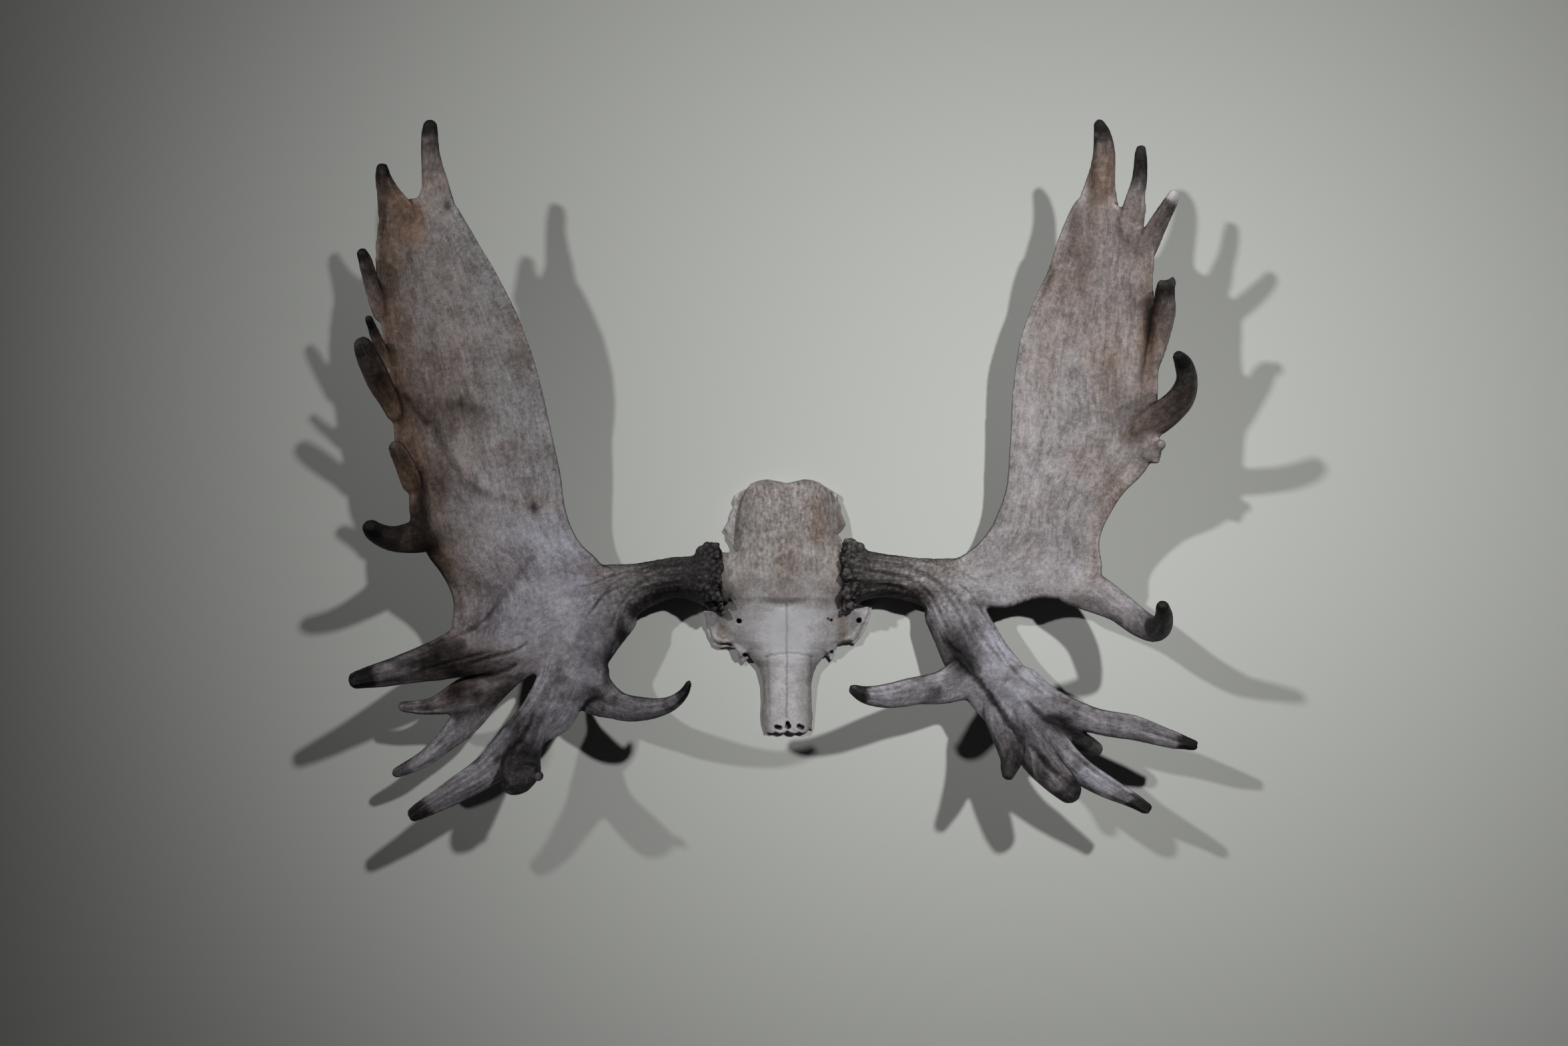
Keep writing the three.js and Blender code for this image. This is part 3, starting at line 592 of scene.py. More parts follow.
def nearest_sample(places, samples, blocks):
    """The index of the sample nearest to each place, worked out in blocks to save memory."""
    nearest = np.empty(len(places), int)
    for block in np.array_split(np.arange(len(places)), blocks):
        spread = places[block] @ samples.T
        nearest[block] = np.argmin((samples ** 2).sum(axis=1)[None, :] - 2 * spread, axis=1)
    return nearest


def branch_flow(points, places):
    """Closeness of each place to a branch, its place in the branch's grain and share of the length."""
    sample_step = 3
    fewest_samples = 12
    length = curve_length(np.array(points)[:, :3])
    where = np.linspace(0, 1, max(fewest_samples, int(length / sample_step)))
    centre, travel, side, over, width, thickness = spine_of(points, where)
    travelled = np.concatenate([[0], np.cumsum(np.linalg.norm(np.diff(centre, axis=0), axis=1))])
    near = nearest_sample(places, centre, 12)
    offset = places - centre[near]
    forward = (offset * travel[near]).sum(axis=1)
    across = (offset * side[near]).sum(axis=1) / width[near]
    above = (offset * over[near]).sum(axis=1) / thickness[near]
    beyond = np.maximum(np.abs(forward) - sample_step, 0) / width[near]
    closeness = np.sqrt(across ** 2 + above ** 2 + beyond ** 2)
    along = travelled[near] + forward
    coordinates = np.column_stack([across * width.mean(), above * thickness.mean(), along])
    return closeness, coordinates, np.clip(along / length, 0, 1), length


def furrow_depth(path, half_width, places):
    """1 in the middle of a furrow in plan, falling to 0 past its sides and its faded ends."""
    samples = 80
    faded = 16
    reach = 4 * half_width
    spine = curve(path, np.linspace(0, 1, samples))
    wander = 0.6 * half_width * fractal(places / 9, 61, 2)
    low, high = spine.min(axis=0) - reach, spine.max(axis=0) + reach
    close = ((places[:, :2] > low) & (places[:, :2] < high)).all(axis=1)
    gap = np.sqrt(((places[close][:, None, :2] - spine[None, :, :]) ** 2).sum(axis=2))
    nearest = gap.argmin(axis=1)
    fade = ease(0, faded, np.minimum(nearest, samples - 1 - nearest))
    depth = np.zeros(len(places))
    depth[close] = np.exp(-((gap.min(axis=1) + wander[close]) / half_width) ** 2) * fade
    return depth


def palm_flow(stations, inner_is_east, places):
    """As branch_flow for the palm, with the share of the way out to its outer rim."""
    rows, columns = 90, 40
    sample_reach = 4.5
    along, eastward = np.meshgrid(
        np.linspace(0.01, 0.99, rows), np.linspace(0.02, 0.98, columns), indexing="ij")
    along, eastward = along.ravel(), eastward.ravel()
    middle, normal, thickness = palm_sheet(stations, inner_is_east, along, eastward)
    near = nearest_sample(places, middle, 60)
    offset = places - middle[near]
    depth = (offset * normal[near]).sum(axis=1)
    aside = offset - depth[:, None] * normal[near]
    beyond = np.maximum(np.linalg.norm(aside, axis=1) - sample_reach, 0)
    closeness = np.sqrt((depth / thickness[near]) ** 2 + (beyond / thickness[near]) ** 2)
    table = np.asarray(stations, float)
    widths = np.linalg.norm(table[:, 3:6] - table[:, 0:3], axis=1)
    centre_line = (table[:, 0:3] + table[:, 3:6]) / 2
    length = np.linalg.norm(np.diff(centre_line, axis=0), axis=1).sum()
    local_width = np.interp(along[near], np.linspace(0, 1, len(widths)), widths)
    across = (eastward[near] - 0.5) * widths.mean() + aside[:, 0] * widths.mean() / local_width
    coordinates = np.column_stack([across, depth, along[near] * length + aside[:, 1]])
    outward = 1 - eastward[near] if inner_is_east else eastward[near]
    return closeness, coordinates, along[near], outward


def grain_flows(surface, branches, palm, inner_is_east):
    """The flow along each branch and the palm, how far each point belongs to each, and outward."""
    sharpness = 5
    flows = [branch_flow(table, surface.points) for table, _, _ in branches.values()]
    *palm_grain, outward = palm_flow(palm, inner_is_east, surface.points)
    flows.append((*palm_grain, 1))
    closeness = np.column_stack([flow[0] for flow in flows])
    weights = np.exp(-sharpness * (closeness - closeness.min(axis=1, keepdims=True)))
    weights /= weights.sum(axis=1, keepdims=True)
    for _ in range(3):
        weights = surface.averaged(weights)
    return flows, weights, outward


def bone_tone_and_shade(points, branches, flows, weights, outward, brow_share, stains_and_shade, seed):
    """How dark, warm and cool the bone is along each branch, over the palm and in its stained patches,
    with painted shade along the palm's rims and in the patches listed as shade.
    """
    tip_start, tip_full = 32, 21
    middle, latest_start, latest_full = 0.45, 0.8, 0.89
    ragged_tip = 13 * fractal(points / 10, seed + 140, 3)
    dark = np.zeros(len(points))
    warm = np.zeros(len(points))
    for index, (_, darkness, warmth) in enumerate(branches.values()):
        _, _, along, length = flows[index]
        black_start = max(latest_start, 1 - tip_start / length)
        black_full = max(latest_full, 1 - tip_full / length)
        stops = [0, middle, black_start, black_full]
        reach = along + ragged_tip / length
        dark += weights[:, index] * np.interp(reach, stops, darkness)
        warm += weights[:, index] * np.interp(reach, stops, warmth)
    # Painted shade: the palm darkens towards its outer and inner rims, where the edge rolls away from the
    # light.
    rim = ease(0.93, 1, outward)
    inner_rim = ease(0.07, 0.02, outward)
    dark += weights[:, -1] * (0.12 + 0.20 * rim + 0.10 * inner_rim)
    warm += weights[:, -1] * 0.35 * ease(0.75, 1, outward)
    dark += brow_share * 0.30 * ease(0.05, 0.6, fractal(points / 24, seed + 120, 3))
    cool = 0.6 * brow_share
    rough = 1 + 0.5 * fractal(points / 22, seed + 40, 2)
    for tone_patch in stains_and_shade:
        x, y, radius_x, radius_y, darkness, warmth, coolness = (*tone_patch, 0, 0)[:7]
        spread = ((points[:, 0] - x) / radius_x) ** 2 + ((points[:, 1] - y) / radius_y) ** 2
        mark = np.exp(-spread * rough)
        dark += mark * darkness
        warm += mark * warmth
        cool += mark * coolness
    return dark, warm, cool


def beam_zones(points, burr):
    """How far each point belongs to the beam, to the burr's edge and to the fork past the beam."""
    from_burr = np.abs(points[:, 0] - burr)
    y = points[:, 1]
    beam = ease(150, 60, from_burr) * ease(-60, -20, y)
    beam *= ease(95, 75, y)
    burr_edge = ease(34, 4, from_burr) * beam
    fork = ease(60, 100, from_burr) * ease(190, 130, from_burr)
    fork *= ease(-30, 0, y) * ease(90, 50, y)
    return beam, burr_edge, fork


def grain_relief(flows, weights, seed):
    """Broad grooves and narrow grain that run along each flow."""
    least_share = 0.02
    broad_size = np.array([15, 15, 150])
    narrow_size = np.array([7, 7, 46])
    grooves = np.zeros(len(weights))
    grain = np.zeros(len(weights))
    for index, (_, coordinates, _, _) in enumerate(flows):
        used = weights[:, index] > least_share
        local = coordinates[used] + index * FLOW_SHIFT
        share = weights[used, index]
        grooves[used] += share * fractal(local / broad_size, seed + index, 2)
        grain[used] += share * fractal(local / narrow_size, seed + 50 + index, 2)
    return grooves, grain


def blunted(points, burr, outward_sign, ragged):
    """The x of each point, with the end that sits on the pedicle pressed to a blunt disc."""
    soft = 7
    past = (points[:, 0] - burr) * -outward_sign + soft - ragged
    pressed = np.where(past > 0, soft * (1 - np.exp(-np.maximum(past, 0) / soft)), past)
    return burr - outward_sign * (pressed - soft + ragged)


def main_grain(flows, weights):
    """Each point's place in the grain of its main flow, and how clearly that flow leads."""
    ranked = np.sort(weights, axis=1)
    lead = ease(0.15, 0.5, ranked[:, -1] - ranked[:, -2])
    main = weights.argmax(axis=1)
    along_grain = np.zeros((len(weights), 3))
    for index, (_, coordinates, _, _) in enumerate(flows):
        mine = main == index
        along_grain[mine] = coordinates[mine] + index * FLOW_SHIFT
    return along_grain, lead


def antler(name, branches, palm, inner_is_east, burr, knobs, stains_and_shade, furrows, seed, material):
    shapes = [branch_shape(points) for points, _, _ in branches.values()]
    shapes.append(palm_shape(palm, inner_is_east))
    shapes.extend(knob_shape(knob) for knob in knobs)
    surface = united(name, shapes, ANTLER_VOXEL)
    surface.relax(rounds=3)
    surface.fill_creases(rounds=42)
    surface.relax(rounds=4)

    points = surface.points
    normal = surface.normals()
    upward = normal[:, 2]
    brow_share = ease(40, -40, points[:, 1])
    flows, weights, outward = grain_flows(surface, branches, palm, inner_is_east)
    dark, warm, cool = bone_tone_and_shade(points, branches, flows, weights, outward, brow_share, stains_and_shade, seed)

    beam, burr_edge, fork = beam_zones(points, burr)
    grooves, grain = grain_relief(flows, weights, seed)
    lumps = fractal(points / 48, seed + 90, 2)
    burr_pearls = pearls(points / np.array([7.5, 6.5, 6.5]), seed + 7)
    fine_pearls = pearls(points / np.array([5.5, 4.6, 4.6]), seed + 17)
    height = 1.3 * lumps * (1 - 0.5 * beam)
    # Each furrow is cut into the surface and painted darker along it, as painted shade in the groove.
    for path, half_width, depth, darkness in furrows:
        mark = furrow_depth(path, half_width, points) * ease(-0.2, 0.3, upward)
        height -= depth * mark
        dark += darkness * mark
    ridges = 1 - np.abs(grooves) * 2
    height += grooves * (0.30 + 0.9 * brow_share + 1.3 * beam)
    height += ridges * (0.5 * brow_share + 0.8 * beam)
    height += grain * (0.20 + 0.45 * brow_share + 0.9 * beam + 0.6 * fork)
    height += (burr_pearls - 0.45) * 8 * burr_edge
    height += (fine_pearls - 0.45) * (0.9 * beam + 0.5 * fork)
    ragged = 9 * fractal(points / 11, seed + 70, 2) + 4
    surface.points = points + normal * height[:, None]
    surface.points[:, 0] = blunted(surface.points, burr, -1 if inner_is_east else 1, ragged)
    surface.relax(rounds=1)

    along_grain, lead = main_grain(flows, weights)
    # hollow marks the grooves, which the material paints darker as shade.
    hollow = np.clip(surface.hollowness() / 0.35, -1, 1)
    # The fork and beam are a little darker in colour; the rest here is painted shade, darker where the
    # surface turns away from facing up, most of all on the palm.
    dark += 0.05 * fork + 0.02 * beam + 0.5 * ease(0.5, 0.05, upward)
    dark += 0.25 * weights[:, -1] * ease(0.85, 0.45, upward)
    return finished_piece(name, surface, {
        "dark": dark,
        "warm": np.clip(0.72 * warm, 0, 1),
        "cool": np.clip(cool, 0, 1),
        "hollow": hollow * (1 + 0.8 * brow_share),
        "streak": 0.5 + 0.5 * np.clip(0.7 * grain + 0.5 * grooves, -1, 1),
        "hold": lead,
        "along_grain": along_grain,
        "speckle": np.clip(fork + beam, 0, 1) * fine_pearls,
    }, material)


# ---- skull plate

# The bone's crown over the midline: [y, half width, height, squareness of the section].
SKULL_CROWN = [
    [165, 50, 17, 2.4], [158, 52, 23, 2.4], [148, 58, 32, 2.4], [126, 61, 44, 2.4], [87, 63, 54, 2.5],
    [66, 70, 59, 2.8], [52, 84, 61, 3.4], [30, 100, 62, 4], [6, 104, 60, 3], [-8, 102, 55, 2.2],
    [-22, 97, 49, 1.8], [-40, 88, 41, 1.8], [-52, 76, 36, 2], [-62, 60, 32, 2], [-72, 48, 29, 2],
    [-85, 37, 25, 2.1], [-108, 32, 21, 2.2], [-140, 32, 17, 2.2], [-172, 32, 12, 2.2], [-180, 32, 11, 2.2],
]

# The outline of the plate without its flanges, clockwise from the nape.
DOME_OUTLINE = [
    [-57, 131], [-50, 145], [-47, 151], [-37, 155], [-25, 157], [-10, 154], [0, 152], [10, 154], [22, 157],
    [33, 156], [44, 152], [50, 142], [57, 137], [60, 118], [61, 98], [60, 84], [62, 66], [67, 56],
    [70, 20], [70, 0], [80, -8], [95, -12], [98, -30], [90, -50], [72, -52], [63, -58], [58, -66],
    [52, -69], [42, -82], [35, -94], [32, -109], [33, -135], [37, -152], [33, -160], [36, -170],
    [33, -172], [30, -166], [27, -170], [21, -172], [16, -170], [11, -172], [5, -171], [1, -168],
    [-3, -171], [-9, -172], [-14, -170], [-19, -172], [-24, -171], [-27, -173], [-29, -165], [-32, -158],
    [-33, -148], [-30, -127], [-31, -104], [-36, -88], [-44, -79], [-52, -70], [-62, -62], [-70, -55],
    [-88, -52], [-98, -30], [-96, -12], [-82, -8], [-70, 0], [-70, 20], [-66, 56], [-60, 66], [-60, 84],
    [-61, 98], [-60, 118],
]

# The thin torn flanges on the two sides of the nape.
WEST_FLANGE = [
    [-50, 146], [-66, 138], [-69, 130], [-67, 124], [-72, 116], [-74, 106], [-80, 95], [-82, 92],
    [-78, 87], [-77, 80], [-72, 74], [-69, 66], [-62, 60], [-50, 60],
]
EAST_FLANGE = [
    [45, 150], [56, 143], [67, 138], [66, 130], [71, 122], [70, 115], [74, 106], [77, 99], [73, 92],
    [66, 86], [71, 80], [73, 72], [79, 66], [70, 58], [50, 60],
]

# The eye sockets' upper rims, and the lower rims that stand out under them.
WEST_RIM = [
    [-60, 6], [-84, 2], [-95, -6], [-104, -14], [-102, -26], [-99, -38], [-95, -50], [-88, -55],
    [-70, -54], [-66, -62], [-62, -72], [-58, -74], [-52, -66], [-50, -40],
]
WEST_LOWER_RIM = [
    [-60, 0], [-97, -6], [-109, -15], [-106, -32], [-101, -46], [-95, -58], [-87, -62], [-76, -60],
    [-66, -62], [-62, -76], [-57, -84], [-53, -78], [-48, -74], [-50, -40],
]
EAST_RIM = [
    [60, 6], [74, 2], [94, 0], [107, -6], [105, -16], [100, -28], [93, -42], [86, -52], [72, -50],
    [64, -55], [60, -64], [55, -68], [50, -60], [50, -40],
]
EAST_LOWER_RIM = [
    [60, 0], [96, 0], [111, -6], [108, -22], [102, -38], [94, -50], [88, -57], [80, -53], [73, -55],
    [66, -58], [63, -68], [58, -79], [53, -72], [48, -70], [50, -40],
]

# Small holes in the bone: [x, y, radius, depth].
FORAMINA = [
    [-61, -25, 3, 12], [93, -25, 3.2, 12], [57, -24, 1.5, 6], [53, -22, 1, 4], [-54, -70, 2.6, 14],
    [58, -66, 2.2, 12], [-13, -163, 2.6, 8], [-9, -164, 2.6, 8], [1, -158, 2.2, 8], [2, -162, 3.4, 8],
    [16, -162, 2.6, 8], [20, -164, 2.6, 8],
]


def inside_distance(x, y, outline):
    """Distance in from the outline of a plan shape, negative outside it."""
    corners = np.asarray(outline, float)
    nearest = np.full(x.shape, 1e9)
    inside = np.zeros(x.shape, bool)
    for (x0, y0), (x1, y1) in zip(corners, np.roll(corners, -1, axis=0)):
        edge_x, edge_y = x1 - x0, y1 - y0
        part = np.clip(((x - x0) * edge_x + (y - y0) * edge_y) / (edge_x ** 2 + edge_y ** 2), 0, 1)
        nearest = np.minimum(nearest, np.hypot(x - x0 - part * edge_x, y - y0 - part * edge_y))
        if y0 != y1:
            crossing = ((y0 > y) != (y1 > y)) & (x < (x1 - x0) * (y - y0) / (y1 - y0) + x0)
            inside ^= crossing
    return np.where(inside, nearest, -nearest)


def soft_min(first, second, softness):
    blend = np.clip(0.5 + 0.5 * (second - first) / softness, 0, 1)
    return second * (1 - blend) + first * blend - softness * blend * (1 - blend)


def soft_max(first, second, softness):
    return -soft_min(-first, -second, softness)


def suture_distance(x, y):
    """Distance to the nearest seam between the bones of the forehead and nose."""
    wander = 0.35 * np.sin(y / 7) + 0.25 * np.sin(y / 3.1 + 1)
    middle = np.abs(x - wander) + np.maximum(0, np.maximum(y + 3, -152 - y))
    past_nose = np.maximum(0, np.maximum(y + 72, -150 - y))
    arch_y = -66.5 - 4.8 * ((x - 3) / 30) ** 2 + 0.6 * np.sin(x / 1.9)
    arch = np.abs(y - arch_y) + np.maximum(0, np.abs(x - 3) - 31)
    west_side = np.abs(x + 25 + 0.04 * (y + 70))
    east_side = np.abs(x - 31 + 0.02 * (y + 70))
    return middle, arch, np.minimum(west_side, east_side) + past_nose


def bell(across, along=0):
    """1 at the middle of a mark, falling smoothly past 1 on either side."""
    return np.exp(-across ** 2 - along ** 2)


def crescent_of(x, y):
    """1 in the hollow below the crest that joins the two pedicles."""
    line = -2 + 7 * ((x + 4) / 36) ** 2
    return bell((y - line) / 5, ((x + 4) / 30) ** 2)


def plan_noise(x, y, size, seed, octaves):
    places = np.column_stack([x.ravel() / size[0], y.ravel() / size[1], np.zeros(x.size)])
    return fractal(places, seed, octaves).reshape(x.shape)


def skull_top(x, y):
    """Height of the upper bone surface over the plan."""
    rough = plan_noise(x, y, (5, 22), 301, 3)
    pits = plan_noise(x, y, (3.6, 7), 311, 2)
    lumps = plan_noise(x, y, (26, 26), 321, 3)
    crown = np.asarray(SKULL_CROWN, float)[::-1]
    half_width, height, squareness = (np.interp(y, crown[:, 0], crown[:, part]) for part in (1, 2, 3))
    sideways = np.clip(np.abs(x) / (half_width + 2 + 2 * ease(-60, -30, y)), 0, 1)
    dome = height * (1 - sideways ** squareness) ** 0.5
    nape = ease(30, 90, y)
    forehead = ease(4, -8, y)
    dome -= 2.6 * crescent_of(x, y)
    dome += rough * (1.4 * nape + 0.5 * (1 - forehead)) + pits * (0.9 * nape + 0.3 * (1 - forehead))
    dome += lumps * (1.8 - 1 * forehead)
    middle, arch, sides = suture_distance(x, y)
    dome -= 0.8 * bell(middle / 1.4) + 0.6 * bell(arch / 1.4) + 0.8 * bell(sides / 1.8)
    dome -= 0.48 * ease(14, 0, np.abs(x)) * ease(-60, -100, y)
    return dome


def rounded_plate(x, y, z, outline, top, edge):
    """Inside distance of a plate with the given outline and top, its edges rounded over."""
    inset = inside_distance(x[:, :, 0], y[:, :, 0], outline)
    slope_x, slope_y = np.gradient(top, SKULL_VOXEL)
    steepness = np.sqrt(1 + np.minimum(slope_x ** 2 + slope_y ** 2, 9))
    below = (top[:, :, None] - z) / steepness[:, :, None]
    return soft_min(below, inset[:, :, None] + 0 * z, edge)


def skull_surface():
    low = np.array([-126, -184, -4])
    high = np.array([120, 168, 92])
    flange_height, rim_height, lower_rim_height = 8.5, 19, 7.5
    neck_height, rim_foramen_height = 33, 16
    braincase = (92, (38, 46, 28))
    nose_passage = (-108, (16, 42, 11))
    axes = [np.arange(start, stop, SKULL_VOXEL) for start, stop in zip(low, high)]
    x, y, z = np.meshgrid(*axes, indexing="ij")
    plan_x, plan_y = x[:, :, 0], y[:, :, 0]
    ripple = plan_noise(plan_x, plan_y, (9, 9), 331, 3)
    top = skull_top(plan_x, plan_y)

    bone = rounded_plate(x, y, z, DOME_OUTLINE, top, 3)
    for outline in (WEST_FLANGE, EAST_FLANGE):
        flange = rounded_plate(x, y, z, outline, flange_height + 2.5 * ripple, 3)
        bone = soft_max(bone, flange, 1.5)
    rim_top = rim_height - 0.15 * (np.abs(plan_x) - 60) + 3.5 * ripple
    rim_top -= 0.06 * np.maximum(0, -24 - plan_y)
    for outline in (WEST_RIM, EAST_RIM):
        inset = inside_distance(plan_x, plan_y, outline)
        lip = 1.4 * np.exp(-((inset - 4) / 3.5) ** 2)
        upper = rounded_plate(x, y, z, outline, rim_top + lip, 3.5)
        bone = soft_max(bone, np.minimum(upper, z - 3), 6)
    for outline in (WEST_LOWER_RIM, EAST_LOWER_RIM):
        lower = rounded_plate(x, y, z, outline, lower_rim_height + 1.5 * ripple, 3)
        bone = soft_max(bone, lower, 1)

    # The pedicles, from the skull to each burr.
    for burr in (WEST_BURR, EAST_BURR):
        outward = x * np.sign(burr)
        flare = ease(30, abs(burr), outward)
        across = (y - BURR_CENTRE_Y) / (27 + 5 * flare)
        above = (z - neck_height - flare) / (21 + 4 * flare)
        neck = (1 - np.sqrt(across ** 2 + above ** 2)) * 26
        neck = np.minimum(neck, abs(burr) + 2 + 4 * ripple[:, :, None] - outward)
        neck = np.minimum(neck, outward - 10)
        bone = soft_max(bone, neck, 7)

    # Hollows in the sawn face, and small holes through the outer bone.
    for centre_y, radii in (braincase, nose_passage):
        cavity = np.sqrt((x / radii[0]) ** 2 + ((y - centre_y) / radii[1]) ** 2 + (z / radii[2]) ** 2)
        bone = soft_min(bone, (cavity - 1) * min(radii), 2)
    for hole_x, hole_y, radius, depth in FORAMINA:
        column = int((hole_x - low[0]) / SKULL_VOXEL)
        row = int((hole_y + 4 - low[1]) / SKULL_VOXEL)
        mouth = rim_foramen_height if abs(hole_x) > 80 else top[column, row]
        reach = np.hypot(x - hole_x, y - hole_y) - radius
        bone = np.minimum(bone, np.maximum(reach, mouth - depth - z))
    bone = soft_min(bone, z, 1.5)

    grid = openvdb.FloatGrid()
    grid.copyFromArray(np.ascontiguousarray(-bone, dtype=np.float32))
    cells, quads = grid.convertToQuads(0.0)
    surface = Surface(cells * SKULL_VOXEL + low, quads)
    surface.relax(rounds=3)
    return surface


def skull(name, material):
    surface = skull_surface()
    x, y, z = surface.points.T
    side = np.abs(x)
    upward = surface.normals()[:, 2]
    middle, arch, sides = suture_distance(x, y)
    on_top = ease(0.1, 0.5, upward) * ease(8, 12, z)
    seam = 0.9 * bell(middle / 1.5) + 0.8 * bell(arch / 1.4) + 0.35 * bell(sides / 1.6)
    dark = 0.38 * on_top * np.clip(seam, 0, 1)
    # The nape's top edge darkens, and the crescent in the hollow below the crest gets painted shade.
    dark += 0.25 * ease(148, 154, y) + 0.25 * crescent_of(x, y) * on_top
    # Painted shade inside each small hole.
    for hole_x, hole_y, radius, _ in FORAMINA:
        hole = np.hypot(x - hole_x, y - hole_y)
        dark += ease(radius + 1.6, radius - 0.2, hole) * ease(3, 8, z)
    braincase_side = ease(50, 70, y)
    to_burr = np.minimum(np.abs(x - WEST_BURR), np.abs(x - EAST_BURR))
    tan = bell((x - 41) / 12, (y - 100) / 30)
    brown = 0.55 * bell((x - 1) / 17, (y - 50) / 26) + tan
    brown += 0.06 * ease(40, 90, y) + 0.08 * ease(-2, 30, y)
    brown += 0.15 * bell((side - 80) / 18, (y + 30) / 22) + 0.5 * ease(10, 2, to_burr)
    # The nose's sides go grey as painted shade on their slopes; low parts near the cut face and the
    # flanges go grey as well.
    grey = ease(20, 29, np.abs(x - 2)) * ease(-68, -84, y)
    grey += ease(10, 4, z) * 0.5
    grey = np.maximum(grey, 0.55 * ease(60, 66, side) * braincase_side)
    grey = np.maximum(grey, 0.2 * ease(44, 60, side) * ease(4, -8, y))
    pale_width = 44 - 0.3 * np.clip(-8 - y, 0, 60)
    pale = bell((x / pale_width) ** 2) * ease(-4, -16, y)
    # The shade attribute shifts tone: lighter over the tan patch and the pale flanges, darker over the
    # frontal, nape, nose and eye sockets; the band along the east side of the nose is painted shade.
    shade = 0.26 * ease(-6, 4, y) + 0.03 * ease(60, 90, y)
    shade += 0.27 * ease(-60, -90, y) - 0.20 * tan
    shade -= 0.22 * ease(58, 64, side) * braincase_side
    shade += 0.08 * ease(38, 60, side) * ease(30, 10, y) * ease(-12, 0, y)
    shade += 0.10 * bell((x - 18) / 5) * ease(-76, -90, y)
    shade += 0.08 * bell((side - 46) / 8, (y - 100) / 60)
    # hollow marks the grooves, which the material darkens as painted shade.
    return finished_piece(name, surface, {
        "dark": np.clip(dark, 0, 1),
        "brown": np.clip(brown, 0, 1),
        "grey": np.clip(grey, 0, 1),
        "pale": np.clip(pale, 0, 1),
        "shade": shade,
        "hollow": np.clip(surface.hollowness() / 0.25, -1, 1),
        "rough_bone": ease(0, 60, y),
    }, material)


# ---- materials

class Shader:
    """A node material with one principled shader, built by short calls."""

    def __init__(self, name):
        self.material = bpy.data.materials.new(name)
        self.material.use_nodes = True
        self.tree = self.material.node_tree
        self.tree.nodes.clear()
        output = self.node("OutputMaterial")
        self.surface = self.node("BsdfPrincipled")
        self.set(output, "Surface", self.surface.outputs[0])

    def node(self, kind):
        return self.tree.nodes.new("ShaderNode" + kind)

    def set(self, node, socket, value):
        if isinstance(value, bpy.types.NodeSocket):
            self.tree.links.new(value, node.inputs[socket])
        else:
            node.inputs[socket].default_value = value

    def set_surface(self, socket, value):
        self.set(self.surface, socket, value)

    def attribute(self, label, output="Fac"):
        node = self.node("Attribute")
        node.attribute_name = label
        return node.outputs[output]

    def position(self):
        return self.node("TexCoord").outputs["Object"]

    def noise(self, vector, scale, detail, roughness):
        """Noise about 0. A scale of three numbers stretches it."""
        if isinstance(scale, tuple):
            stretch = self.node("Mapping")
            self.set(stretch, "Vector", vector)
            self.set(stretch, "Scale", scale)
            vector, scale = stretch.outputs[0], 1
        node = self.node("TexNoise")
        self.set(node, "Vector", vector)
        self.set(node, "Scale", scale)
        self.set(node, "Detail", detail)
        self.set(node, "Roughness", roughness)
        return self.math("SUBTRACT", node.outputs["Fac"], 0.5)

    def math(self, operation, first, second):
        node = self.node("Math")
        node.operation = operation
        self.set(node, 0, first)
        self.set(node, 1, second)
        return node.outputs[0]

    def times(self, first, second):
        return self.math("MULTIPLY", first, second)

    def total(self, start, *shares):
        """The start and each share, a part and how much of it counts, added up."""
        for part, amount in shares:
            start = self.math("ADD", start, self.times(part, amount))
        return start

    def spread(self, value, low, high, to_low=0, to_high=1):
        node = self.node("MapRange")
        self.set(node, "Value", value)
        self.set(node, "From Min", low)
        self.set(node, "From Max", high)
        self.set(node, "To Min", to_low)
        self.set(node, "To Max", to_high)
        return node.outputs[0]

    def mix(self, factor, first, second, blend="MULTIPLY"):
        node = self.node("Mix")
        node.data_type = "RGBA"
        node.blend_type = blend
        self.set(node, 0, factor)
        self.set(node, 6, first)
        self.set(node, 7, (*second, 1))
        return node.outputs[2]

    def ramp(self, factor, *stops):
        node = self.node("ValToRGB")
        elements = node.color_ramp.elements
        while len(elements) < len(stops):
            elements.new(0.5)
        for element, (place, colour) in zip(elements, stops):
            element.position = place
            element.color = (*colour, 1)
        self.set(node, "Fac", factor)
        return node.outputs["Color"]

    def bump(self, height, strength, distance):
        node = self.node("Bump")
        self.set(node, "Height", height)
        self.set(node, "Strength", strength)
        self.set(node, "Distance", distance)
        self.set_surface("Normal", node.outputs[0])


